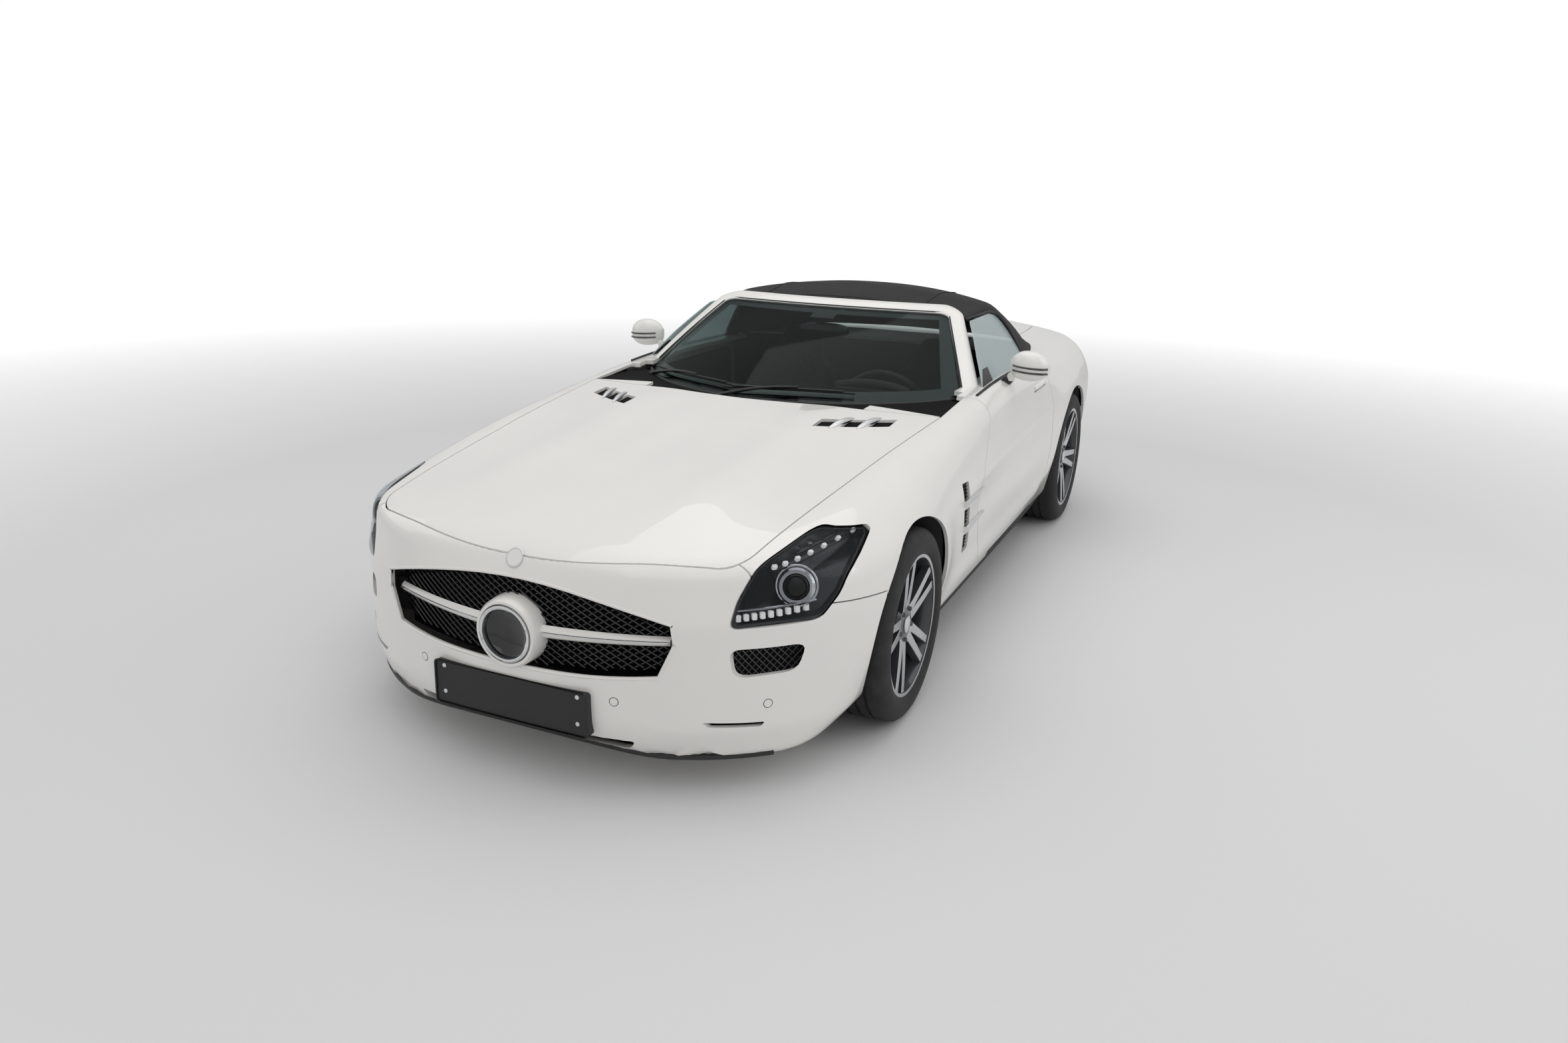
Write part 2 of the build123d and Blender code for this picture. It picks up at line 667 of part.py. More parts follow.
# ---------------------------------------------------------------- door mirrors
with BuildPart() as mirror_head:
    for x, half_w, half_h, y in ((858, 26, 34, 180), (930, 58, 66, 165), (1000, 52, 58, 168), (1037, 26, 30, 182)):
        with BuildSketch(Plane.YZ.offset(x)) as section:
            with Locations((y, 1000)):
                RectangleRounded(2 * half_w, 2 * half_h, min(half_w, half_h) * 0.6)
    loft(ruled=True)
    with BuildSketch(Plane.XY.offset(905)):
        with Locations((882, 178)):
            RectangleRounded(60, 44, 12)
    extrude(amount=66)
    add(outer, mode=Mode.SUBTRACT)
finish_pair(mirror_head.part.solids().sort_by(SortBy.VOLUME)[-1], "mirror")

# ---------------------------------------------------------------- floor and sills
FLOOR_Z = 128
FLOOR_T = 30
FLOOR_FRONT_Y = -940
FLOOR_REAR_Y = 960
SILL_IN_X = 700
SILL_BOX_X = 784
SILL_BOX_Z = 335
SILL_BOX_REAR_Y = 930
TUNNEL_X = 110
TUNNEL_Z = 360
with BuildPart() as underbody:
    add(outer)
    add(block((-1100, 1100), (FLOOR_FRONT_Y, FLOOR_REAR_Y), (0, FLOOR_Z + FLOOR_T)), mode=Mode.INTERSECT)
with BuildPart() as sill:
    add(outer)
    add(block((SILL_IN_X, 1100), (FLOOR_FRONT_Y, FLOOR_REAR_Y), (FLOOR_Z, SILL_TOP - SEAT)), mode=Mode.INTERSECT)
    add(block((SILL_IN_X, SILL_BOX_X), (-545, SILL_BOX_REAR_Y), (FLOOR_Z, SILL_BOX_Z)))
    add(door_hole, mode=Mode.SUBTRACT)
with BuildPart() as floor_pan:
    add(underbody.part)
    add(sill.part.solids().sort_by(SortBy.VOLUME)[-1])
    mirror(about=Plane.YZ)
    add(block((-TUNNEL_X, TUNNEL_X), (-545, FLOOR_REAR_Y), (FLOOR_Z, TUNNEL_Z)))
    add(block((-TUNNEL_X + 12, TUNNEL_X - 12), (-700, 1200), (FLOOR_Z - 60, TUNNEL_Z - 12)), mode=Mode.SUBTRACT)
finish(floor_pan.part.solids().sort_by(SortBy.VOLUME)[-1], "underbody")

# ---------------------------------------------------------------- front frame
WALL_Y = -572
WALL_T = 24
FRONT_WELL_R = FRONT_TYRE_R + WELL_GAP
REAR_WELL_R = REAR_TYRE_R + WELL_GAP
RAIL_IN_X = 420
RAIL_Z = (400, 510)
HOOD_STOP_R = 22
HOOD_STOPS_Y = (-1900, -1000)
COWL_T = 16
with BuildPart() as firewall:
    add(core)
    add(
        block(
            (0, SILL_IN_X - SEAT), (WALL_Y, WALL_Y + WALL_T), (FLOOR_Z + FLOOR_T + SEAT, COWL_Z - COWL_T - SEAT),
        ),
        mode=Mode.INTERSECT,
    )
    mirror(about=Plane.YZ)
finish(firewall.part.solids().sort_by(SortBy.VOLUME)[-1], "firewall")
with BuildPart() as hinge_pillar:
    add(core)
    add(block((SILL_IN_X, 1100), (WALL_Y, -210), (SILL_TOP, COWL_Z - COWL_T - SEAT)), mode=Mode.INTERSECT)
    add(block((600, SILL_BOX_X + SEAT), (-545, 0), (0, SILL_BOX_Z + SEAT)), mode=Mode.SUBTRACT)
    add(door_hole, mode=Mode.SUBTRACT)
finish_pair(hinge_pillar.part.solids().sort_by(SortBy.VOLUME)[-1], "hinge_pillar")
with BuildPart() as front_well:
    # wheel housing: arched liner and its inner wall
    add(across(FRONT_WELL_R + LINER, FRONT_AXLE_Y, FRONT_TYRE_R, FRONT_WELL_X - LINER, 1100))
    add(across(FRONT_WELL_R, FRONT_AXLE_Y, FRONT_TYRE_R, FRONT_WELL_X, 1100), mode=Mode.SUBTRACT)
    add(block((0, 1200), (-2000, 0), (-200, 290)), mode=Mode.SUBTRACT)
    add(core, mode=Mode.INTERSECT)
with BuildPart() as hood_stops:
    # posts on the rail, whose rubber buffers the bonnet rests on
    with BuildSketch(Plane.XY.offset(RAIL_Z[1])):
        for y in HOOD_STOPS_Y:
            with Locations(((RAIL_IN_X + FRONT_WELL_X - LINER) / 2, y)):
                Circle(HOOD_STOP_R)
    extrude(amount=500)
    add(core, mode=Mode.INTERSECT)
with BuildPart() as front_frame:
    add(front_well.part.solids().sort_by(SortBy.VOLUME)[-1])
    # rail from the firewall to the bumper beam
    add(block((RAIL_IN_X, FRONT_WELL_X - LINER), (-2120, WALL_Y - SEAT), RAIL_Z))
    add(block((0, 560), (-2150, -2100), RAIL_Z))
    add(hood_stops.part)
    mirror(about=Plane.YZ)
finish(front_frame.part.solids().sort_by(SortBy.VOLUME)[-1], "front_frame")
with BuildPart() as cowl:
    # tray below the windscreen
    with BuildSketch(Plane.XY.offset(COWL_Z)):
        with BuildLine():
            ThreePointArc((0, -675), (400, -640), (700, WALL_Y))
            Line((700, WALL_Y), (779, WALL_Y))
            Line((779, WALL_Y), (HOOD_HEEL[0] - SEAT, -40))
            Line((HOOD_HEEL[0] - SEAT, -40), (700, -60))
            ThreePointArc((700, -60), (420, -410), (0, -520))
            Line((0, -520), (0, -675))
        make_face()
    extrude(amount=-COWL_T)
    add(door_hole, mode=Mode.SUBTRACT)
    mirror(about=Plane.YZ)
finish(cowl.part.solids().sort_by(SortBy.VOLUME)[-1], "cowl")

# ---------------------------------------------------------------- rear frame
BULKHEAD_Y = 1010
TRUNK_FLOOR_Z = 420
with BuildPart() as rear_half:
    # bulkhead behind the seats and door shut pillar
    add(core)
    add(block((0, 1100), (BULKHEAD_Y, BULKHEAD_Y + WALL_T), (FLOOR_Z + FLOOR_T + SEAT, 1000)), mode=Mode.INTERSECT)
with BuildPart() as shut_pillar:
    add(core)
    add(block((SILL_IN_X, 1100), (740, BULKHEAD_Y), (SILL_TOP, 1000)), mode=Mode.INTERSECT)
    add(block((600, SILL_BOX_X + SEAT), (0, SILL_BOX_REAR_Y + SEAT), (0, SILL_BOX_Z + SEAT)), mode=Mode.SUBTRACT)
    add(door_hole, mode=Mode.SUBTRACT)
with BuildPart() as rear_well:
    add(across(REAR_WELL_R + LINER, REAR_AXLE_Y, REAR_TYRE_R, REAR_WELL_X - LINER, 1100))
    add(across(REAR_WELL_R, REAR_AXLE_Y, REAR_TYRE_R, REAR_WELL_X, 1100), mode=Mode.SUBTRACT)
    add(block((0, 1200), (0, 2400), (-200, 290)), mode=Mode.SUBTRACT)
    add(core, mode=Mode.INTERSECT)
with BuildPart() as rear_frame:
    add(rear_half.part)
    add(shut_pillar.part.solids().sort_by(SortBy.VOLUME)[-1])
    # boot floor and its side walls
    add(block((0, REAR_WELL_X - LINER), (BULKHEAD_Y, 2150), (TRUNK_FLOOR_Z, TRUNK_FLOOR_Z + 20)))
    add(block((REAR_WELL_X - LINER - 10, REAR_WELL_X - LINER), (BULKHEAD_Y, 2150), (330, 690)))
    add(block((0, REAR_WELL_X - LINER), (2130, 2150), (330, 690)))
    add(block((0, 560), (2150, 2235), (440, 540)))
    add(across(REAR_WELL_R, REAR_AXLE_Y, REAR_TYRE_R, REAR_WELL_X, 1100), mode=Mode.SUBTRACT)
    add(rear_well.part.solids().sort_by(SortBy.VOLUME)[-1])
    # opening for the drive shaft and the lower link
    add(block((590, 700), (REAR_AXLE_Y - 70, REAR_AXLE_Y + 70), (200, 400)), mode=Mode.SUBTRACT)
    add(core, mode=Mode.INTERSECT)
    add(door_hole, mode=Mode.SUBTRACT)
    mirror(about=Plane.YZ)
finish(rear_frame.part.solids().sort_by(SortBy.VOLUME)[-1], "rear_frame")

# ---------------------------------------------------------------- engine and exhaust
with BuildPart() as engine:
    with Locations((0, -1180, 520)):
        Box(560, 760, 360)
    with Locations((0, -1960, 455)):
        Box(700, 60, 380)
    with Locations((0, -1750, 455)):
        Box(300, 420, 120)
    # mounts out to the rails
    add(block((-RAIL_IN_X + SEAT, RAIL_IN_X - SEAT), (-1210, -1140), (430, 480)))
finish(engine.part, "engine")
EXHAUST_Z = 262
with BuildPart() as exhaust:
    # silencer with a twin tail pipe at each side
    with Locations((0, 1985, EXHAUST_Z + 60)):
        Box(900, 200, 150)
    fillet(exhaust.edges().filter_by(Axis.X), 50)
    with BuildSketch(Plane.XZ.offset(-2040)):
        for x in (-560, -430, 430, 560):
            with Locations((x, EXHAUST_Z + 24)):
                RectangleRounded(110, 62, 26)
    extrude(amount=-245)
    with BuildSketch(Plane.XZ.offset(-2285)):
        for x in (-560, -430, 430, 560):
            with Locations((x, EXHAUST_Z + 24)):
                RectangleRounded(102, 54, 22)
    extrude(amount=180, mode=Mode.SUBTRACT)
    with Locations((-560, 2060, EXHAUST_Z + 24), (560, 2060, EXHAUST_Z + 24)):
        Box(260, 44, 40)
    add(block((-40, 40), (1920, 1960), (EXHAUST_Z + 100, TRUNK_FLOOR_Z - SEAT)))
finish(exhaust.part, "exhaust")

# ---------------------------------------------------------------- seats
SEAT_X = 375
with BuildPart() as seat:
    # cushion with raised bolsters
    with BuildSketch(Plane.XZ.offset(-20)):
        with BuildLine():
            Polyline(
                (SEAT_X - 265, 200), (SEAT_X + 265, 200), (SEAT_X + 265, 400), (SEAT_X + 215, 415),
                (SEAT_X + 165, 360), (SEAT_X - 165, 360), (SEAT_X - 215, 415), (SEAT_X - 265, 400), close=True,
            )
        make_face()
    extrude(amount=-520)
    # backrest with bolsters, head restraint grown in
    with BuildSketch(Plane.YZ.offset(SEAT_X - 265)):
        with BuildLine():
            Polyline(
                (430, 230), (570, 230), (720, 640), (800, 860), (820, 985), (690, 1000), (640, 840),
                (560, 640), close=True,
            )
        make_face()
    extrude(amount=530)
    with BuildSketch(Plane.XZ.offset(-300)):
        with BuildLine():
            Polyline(
                (SEAT_X - 320, 180), (SEAT_X + 320, 180), (SEAT_X + 280, 420), (SEAT_X + 265, 720),
                (SEAT_X + 220, 830), (SEAT_X + 130, 870), (SEAT_X + 120, 1010), (SEAT_X - 120, 1010),
                (SEAT_X - 130, 870), (SEAT_X - 220, 830), (SEAT_X - 265, 720), (SEAT_X - 280, 420), close=True,
            )
        make_face()
    extrude(amount=600, both=True, mode=Mode.INTERSECT)
    # runners down to the floor
    for x in (SEAT_X - 190, SEAT_X + 190):
        add(block((x - 20, x + 20), (50, 470), (FLOOR_Z + FLOOR_T + SEAT, 220)))
finish_pair(seat.part, "seat")

# ---------------------------------------------------------------- dashboard and steering wheel
DASH_X = 696
DASH_Y = WALL_Y + WALL_T + SEAT
with BuildPart() as dashboard:
    with BuildSketch(Plane.YZ):
        with BuildLine():
            Polyline(
                (DASH_Y, 560), (DASH_Y, 866), (-420, 872), (-300, 872), (-215, 846), (-190, 760), (-250, 640),
                (-330, 560), close=True,
            )
        make_face()
    extrude(amount=DASH_X, both=True)
    # centre console on the tunnel
    with BuildSketch(Plane.YZ):
        with BuildLine():
            Polyline(
                (DASH_Y, TUNNEL_Z + SEAT), (DASH_Y, 600), (-260, 660), (-190, 600), (-60, 470), (420, 455),
                (440, TUNNEL_Z + SEAT), close=True,
            )
        make_face()
    extrude(amount=105, both=True)
    # instrument hood in front of the driver
    with Locations((SEAT_X, -232, 885)):
        Box(290, 104, 50)

STEERING_HUB = (SEAT_X, -20, 790)
STEERING_TILT = 24
STEERING_R = 180
RIM_TUBE_R = 15
wheel_plane = Plane(
    origin=STEERING_HUB,
    x_dir=(1, 0, 0),
    z_dir=(0, math.cos(math.radians(STEERING_TILT)), math.sin(math.radians(STEERING_TILT))),
)
COLUMN_END = 142
with BuildPart() as column_shroud:
    with BuildSketch(wheel_plane.offset(-COLUMN_END - SEAT)):
        Circle(44)
    extrude(amount=-110)
with BuildPart() as dash_assembly:
    add(dashboard.part)
    add(column_shroud.part)
finish(dash_assembly.part, "dashboard")
with BuildPart() as steering_wheel:
    with BuildSketch(Plane(origin=wheel_plane.origin, x_dir=wheel_plane.x_dir, z_dir=wheel_plane.y_dir)):
        with Locations((STEERING_R, 0)):
            Circle(RIM_TUBE_R)
    revolve(axis=Axis(wheel_plane.origin, wheel_plane.z_dir))
    with BuildSketch(wheel_plane.offset(-12)):
        RectangleRounded(150, 130, 40)
        for angle in (0, 180, 270):
            with Locations(Rotation(0, 0, angle)):
                with Locations((STEERING_R / 2 + 20, 0)):
                    Rectangle(STEERING_R - 40, 34)
    extrude(amount=22)
    with BuildSketch(wheel_plane.offset(-12)):
        Circle(28)
    extrude(amount=-(COLUMN_END - 12))
finish(steering_wheel.part, "steering_wheel")

# ---------------------------------------------------------------- wheels
Wheel = namedtuple("Wheel", "tyre_r tyre_w rim_r rim_w")
FRONT_WHEEL = Wheel(FRONT_TYRE_R, FRONT_TYRE_W, FRONT_RIM_R, 246)
REAR_WHEEL = Wheel(REAR_TYRE_R, REAR_TYRE_W, REAR_RIM_R, 280)
SPOKES = 5
FLANGE = 12
HUB_FACE = 30
BORE_R = 32.06
STUB_R = 32


def make_tyre(w):
    """Tyre about the X axis, middle plane at x = 0."""
    half = w.tyre_w / 2
    bead = w.rim_r + SEAT
    seat = w.rim_w / 2 - 10 - SEAT
    with BuildPart() as tyre:
        with BuildSketch(Plane.XZ):
            with BuildLine():
                Line((-seat, bead), (seat, bead))
                Line((seat, bead), (seat, bead + FLANGE + 1))
                Line((seat, bead + FLANGE + 1), (half - 5, bead + 24))
                ThreePointArc((half - 5, bead + 24), (half, w.tyre_r - 44), (half - 12, w.tyre_r - 16))
                ThreePointArc((half - 12, w.tyre_r - 16), (half - 22, w.tyre_r - 5), (half - 38, w.tyre_r))
                Line((half - 38, w.tyre_r), (-half + 38, w.tyre_r))
                ThreePointArc((-half + 38, w.tyre_r), (-half + 22, w.tyre_r - 5), (-half + 12, w.tyre_r - 16))
                ThreePointArc((-half + 12, w.tyre_r - 16), (-half, w.tyre_r - 44), (-half + 5, bead + 24))
                Line((-half + 5, bead + 24), (-seat, bead + FLANGE + 1))
                Line((-seat, bead + FLANGE + 1), (-seat, bead))
            make_face()
        revolve(axis=Axis.X)
    return tyre.part


def make_rim(w):
    """Rim with twin spokes about the X axis, outer face towards +X."""
    half = w.rim_w / 2
    face = half - 22
    with BuildPart() as envelope:
        # dish that the spokes follow, from hub to barrel
        with BuildSketch(Plane.XZ):
            with BuildLine():
                Polyline(
                    (HUB_FACE, 0), (face - 22, 0), (face - 14, 70), (face + 12, w.rim_r - 10),
                    (face - 16, w.rim_r - 10), (face - 46, 90), (HUB_FACE, 78), close=True,
                )
            make_face()
        revolve(axis=Axis.X)
    with BuildPart() as spokes:
        with BuildSketch(Plane.YZ):
            Circle(76)
            for i in range(SPOKES):
                with Locations(Rotation(0, 0, 90 + i * 360 / SPOKES)):
                    for side in (1, -1):
                        with BuildLine():
                            Polyline(
                                (40, 6 * side), (40, 34 * side), (150, 40 * side),
                                (w.rim_r - 4, 66 * side), (w.rim_r - 4, 34 * side), (120, 12 * side),
                                close=True,
                            )
                        make_face()
        extrude(amount=half + 10)
        add(envelope.part, mode=Mode.INTERSECT)
    with BuildPart() as rim:
        add(spokes.part)
        with BuildSketch(Plane.XZ):
            with BuildLine():
                Polyline(
                    (-half, w.rim_r + FLANGE), (-half + 8, w.rim_r + FLANGE), (-half + 10, w.rim_r),
                    (half - 10, w.rim_r), (half - 8, w.rim_r + FLANGE), (half, w.rim_r + FLANGE),
                    (half, w.rim_r - 4), (half - 10, w.rim_r - 14), (-half, w.rim_r - 14), close=True,
                )
            make_face()
        revolve(axis=Axis.X)
        with BuildSketch(Plane.YZ):
            with PolarLocations(56, SPOKES, start_angle=90 + 180 / SPOKES):
                Circle(12)
        extrude(amount=half + 10, mode=Mode.SUBTRACT)
        with BuildSketch(Plane.YZ.offset(HUB_FACE + 20)):
            Circle(34)
        extrude(amount=face - HUB_FACE - 20)
    return rim.part


def make_disc():
    """Brake disc with its hat, seated on the rim's mounting face."""
    with BuildPart() as disc:
        with BuildSketch(Plane.XZ):
            with BuildLine():
                Polyline(
                    (HUB_FACE - SEAT, BORE_R), (HUB_FACE - SEAT, 78), (HUB_FACE - 14, 84), (20, 84),
                    (20, DISC_R), (20 - DISC_T, DISC_R), (20 - DISC_T, 96), (10, 96), (10, BORE_R), close=True,
                )
            make_face()
        revolve(axis=Axis.X)
    return disc.part


for axle, wheel, wheel_x, axle_y in (
    ("front", FRONT_WHEEL, FRONT_WHEEL_X, FRONT_AXLE_Y),
    ("rear", REAR_WHEEL, REAR_WHEEL_X, REAR_AXLE_Y),
):
    for label, shape in (("tyre", make_tyre(wheel)), ("rim", make_rim(wheel)), ("disc", make_disc())):
        with BuildPart() as placed:
            with Locations((wheel_x, axle_y, wheel.tyre_r)):
                add(shape)
        finish_pair(placed.part, f"{label}_{axle}")

# ---------------------------------------------------------------- axles and knuckles
BALL_R = 26
BALL_LOW_Z = 225
BALL_HIGH_Z = 440
ARM_T = 24


def caliper(wheel_x, axle_y, axle_z, centre_angle):
    """Caliper that straddles the disc over an arc of it."""
    with BuildPart() as part:
        with BuildSketch(Plane.YZ.offset(wheel_x + 20 - DISC_T - 24)):
            with Locations((axle_y, axle_z)):
                Circle(DISC_R + 24)
                Circle(104, mode=Mode.SUBTRACT)
            with BuildLine():
                reach = 300
                a = math.radians(centre_angle - 30)
                b = math.radians(centre_angle + 30)
                Polyline(
                    (axle_y, axle_z),
                    (axle_y + reach * math.cos(a), axle_z + reach * math.sin(a)),
                    (axle_y + reach * math.cos(b), axle_z + reach * math.sin(b)),
                    close=True,
                )
            make_face(mode=Mode.INTERSECT)
        extrude(amount=DISC_T + 48)
        add(across(DISC_R + 4, axle_y, axle_z, wheel_x + 16 - DISC_T, wheel_x + 24), mode=Mode.SUBTRACT)
    return part.part


with BuildPart() as knuckle:
    # upright on the steering axis, with the stub that the disc turns on
    with BuildSketch(Plane.XY.offset(BALL_LOW_Z)):
        with Locations((KINGPIN_X, FRONT_AXLE_Y)):
            Circle(BALL_R)
    extrude(amount=BALL_HIGH_Z - BALL_LOW_Z)
    add(across(STUB_R, FRONT_AXLE_Y, FRONT_TYRE_R, KINGPIN_X, FRONT_WHEEL_X + HUB_FACE - 2))
    add(block((KINGPIN_X - 20, FRONT_WHEEL_X - DISC_T + 12), (FRONT_AXLE_Y, FRONT_AXLE_Y + 150), (310, 358)))
    add(across(96, FRONT_AXLE_Y, FRONT_TYRE_R, FRONT_WHEEL_X - 14, FRONT_WHEEL_X + 60), mode=Mode.SUBTRACT)
    add(across(STUB_R, FRONT_AXLE_Y, FRONT_TYRE_R, KINGPIN_X, FRONT_WHEEL_X + HUB_FACE - 2))
    add(caliper(FRONT_WHEEL_X, FRONT_AXLE_Y, FRONT_TYRE_R, 8))
    add(across(DISC_R + 4, FRONT_AXLE_Y, FRONT_TYRE_R, FRONT_WHEEL_X + 16 - DISC_T, FRONT_WHEEL_X + 24)
        - across(STUB_R, FRONT_AXLE_Y, FRONT_TYRE_R, KINGPIN_X, FRONT_WHEEL_X + 100), mode=Mode.SUBTRACT)
finish_pair(knuckle.part, "knuckle")

with BuildPart() as front_axle:
    # cross member with a lower and an upper arm to each upright
    add(block((0, 400), (FRONT_AXLE_Y - 70, FRONT_AXLE_Y + 70), (190, 270)))
    for z, root_x in ((BALL_LOW_Z - SEAT - ARM_T, 380), (BALL_HIGH_Z + SEAT, FRONT_WELL_X + SEAT)):
        with BuildSketch(Plane.XY.offset(z)):
            with BuildLine():
                Polyline(
                    (root_x, FRONT_AXLE_Y - 150),
                    (KINGPIN_X, FRONT_AXLE_Y - BALL_R),
                    (KINGPIN_X, FRONT_AXLE_Y + BALL_R),
                    (root_x, FRONT_AXLE_Y + 150),
                    (root_x, FRONT_AXLE_Y + 100),
                    (KINGPIN_X - 90, FRONT_AXLE_Y),
                    (root_x, FRONT_AXLE_Y - 100),
                    close=True,
                )
            make_face()
            with Locations((KINGPIN_X, FRONT_AXLE_Y)):
                Circle(BALL_R)
        extrude(amount=ARM_T)
    add(block((380, RAIL_IN_X + 40), (FRONT_AXLE_Y - 150, FRONT_AXLE_Y + 150), (200, RAIL_Z[0] - SEAT)))
    mirror(about=Plane.YZ)
finish(front_axle.part, "front_axle")

with BuildPart() as rear_axle:
    # cross member, differential, drive shafts and uprights with calipers
    add(block((-560, 560), (REAR_AXLE_Y - 80, REAR_AXLE_Y + 80), (250, 290)))
    with Locations((0, REAR_AXLE_Y, 335)):
        Box(260, 300, 130)
    add(block((520, 600), (REAR_AXLE_Y - 90, REAR_AXLE_Y + 90), (250, TRUNK_FLOOR_Z - SEAT)))
    add(across(24, REAR_AXLE_Y, REAR_TYRE_R, 0, REAR_WHEEL_X - 60))
    add(block((560, REAR_WHEEL_X - DISC_T), (REAR_AXLE_Y - 40, REAR_AXLE_Y + 40), (250, 300)))
    add(block((REAR_WHEEL_X - 75, REAR_WHEEL_X - DISC_T + 10), (REAR_AXLE_Y - 170, REAR_AXLE_Y + 50), (250, 400)))
    add(across(DISC_R + 4, REAR_AXLE_Y, REAR_TYRE_R, REAR_WHEEL_X + 16 - DISC_T, REAR_WHEEL_X + 200), mode=Mode.SUBTRACT)
    add(across(STUB_R, REAR_AXLE_Y, REAR_TYRE_R, REAR_WHEEL_X - 70, REAR_WHEEL_X + HUB_FACE - 2))
    add(caliper(REAR_WHEEL_X, REAR_AXLE_Y, REAR_TYRE_R, 172))
    mirror(about=Plane.YZ)
finish(rear_axle.part, "rear_axle")
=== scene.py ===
"""Two-seat roadster with its fabric top up: the looks of each piece, one operator a piece."""

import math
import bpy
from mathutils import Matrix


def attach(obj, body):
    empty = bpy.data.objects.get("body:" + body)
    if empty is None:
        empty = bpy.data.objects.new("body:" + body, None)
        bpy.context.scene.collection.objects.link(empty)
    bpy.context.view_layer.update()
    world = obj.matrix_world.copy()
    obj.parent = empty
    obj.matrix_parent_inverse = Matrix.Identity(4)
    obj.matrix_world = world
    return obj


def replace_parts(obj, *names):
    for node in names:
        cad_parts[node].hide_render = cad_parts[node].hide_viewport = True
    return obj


bl_info = {
    "name": "Roadster Looks",
    "version": (1, 0, 0),
    "blender": (4, 5, 0),
    "location": "3D View > Sidebar > Roadster",
    "description": "Builds the roadster's painted, glazed, trimmed and tyred pieces",
    "category": "Object",
}

import bmesh
import bpy
import numpy as np
from bpy.props import FloatProperty, FloatVectorProperty, IntProperty, PointerProperty
from mathutils import Matrix, Vector

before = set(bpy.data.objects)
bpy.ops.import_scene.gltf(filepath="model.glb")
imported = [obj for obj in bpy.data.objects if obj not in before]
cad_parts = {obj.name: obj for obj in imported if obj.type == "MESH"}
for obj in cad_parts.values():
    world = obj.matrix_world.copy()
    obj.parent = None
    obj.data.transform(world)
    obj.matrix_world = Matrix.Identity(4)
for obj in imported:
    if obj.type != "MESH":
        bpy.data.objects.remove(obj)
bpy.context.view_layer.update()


# ------------------------------------------------------------------ settings
def length(name, value, about):
    """A length setting in metres."""
    return FloatProperty(name=name, description=about, default=value, unit="LENGTH")


def colour(name, value, about):
    """A colour setting."""
    return FloatVectorProperty(name=name, description=about, default=value, size=3, subtype="COLOR")


class BodySettings(bpy.types.PropertyGroup):
    """Sizes and colours of the painted body."""

    panel: length("Panel thickness", 0.012, "Thickness of the painted panels")
    gap: length("Shut gap", 0.0045, "Gap along each shut line")
    step: length("Surface step", 0.020, "Spacing of the body surface's rows")
    paint: colour("Paint", (0.82, 0.803, 0.768), "Pearl white paint")
    trim: colour("Trim", (0.012, 0.012, 0.013), "Black trim")


class WheelSettings(bpy.types.PropertyGroup):
    """Sizes and colours of the wheels."""

    spokes: IntProperty(name="Twin spokes", description="Number of twin spokes", default=5)
    face: colour("Machined face", (0.62, 0.63, 0.65), "Bright machined spoke face")
    pocket: colour("Pocket", (0.055, 0.058, 0.065), "Dark grey paint in the pockets")


class CabinSettings(bpy.types.PropertyGroup):
    """Colours of the cabin and of the fabric top."""

    leather: colour("Leather", (0.018, 0.017, 0.017), "Seat leather")
    fabric: colour("Fabric", (0.010, 0.010, 0.0115), "Fabric of the top")
    weave: length("Weave", 0.0016, "Spacing of the fabric's weave")


# ------------------------------------------------------------------ shader expressions
class Value:
    """A shader socket that combines with numbers and sockets through Math nodes."""

    def __init__(self, look, socket):
        self.look = look
        self.socket = socket

    def op(self, operation, *values, clamp=False):
        node = self.look.tree.nodes.new("ShaderNodeMath")
        node.operation = operation
        node.use_clamp = clamp
        for slot, value in zip(node.inputs, values):
            self.look.feed(slot, value)
        return Value(self.look, node.outputs[0])

    def __add__(self, other):
        return self.op("ADD", self, other)

    def __sub__(self, other):
        return self.op("SUBTRACT", self, other)

    def __mul__(self, other):
        return self.op("MULTIPLY", self, other)

    def __truediv__(self, other):
        return self.op("DIVIDE", self, other)

    def __pow__(self, other):
        return self.op("POWER", self, other)

    def __radd__(self, other):
        return self.op("ADD", other, self)

    def __rsub__(self, other):
        return self.op("SUBTRACT", other, self)

    def __rmul__(self, other):
        return self.op("MULTIPLY", other, self)

    def __rtruediv__(self, other):
        return self.op("DIVIDE", other, self)

    def __gt__(self, other):
        return self.op("GREATER_THAN", self, other)

    def sin(self):
        return self.op("SINE", self)

    def fract(self):
        return self.op("FRACT", self)

    def abs(self):
        return self.op("ABSOLUTE", self)

    def between(self, low, high):
        """0 at low, 1 at high, clamped."""
        return self.op("DIVIDE", self - low, high - low, clamp=True)

    def mix(self, a, b):
        """Colour a where this is 0, colour b where it is 1."""
        return self.look.node(
            "ShaderNodeMix", {"data_type": "RGBA"}, {"Factor": self, 6: tint(a), 7: tint(b)}, 2
        )


def tint(value):
    """A colour with its alpha, or a socket as it is."""
    return value if isinstance(value, Value) else (*value, 1.0)


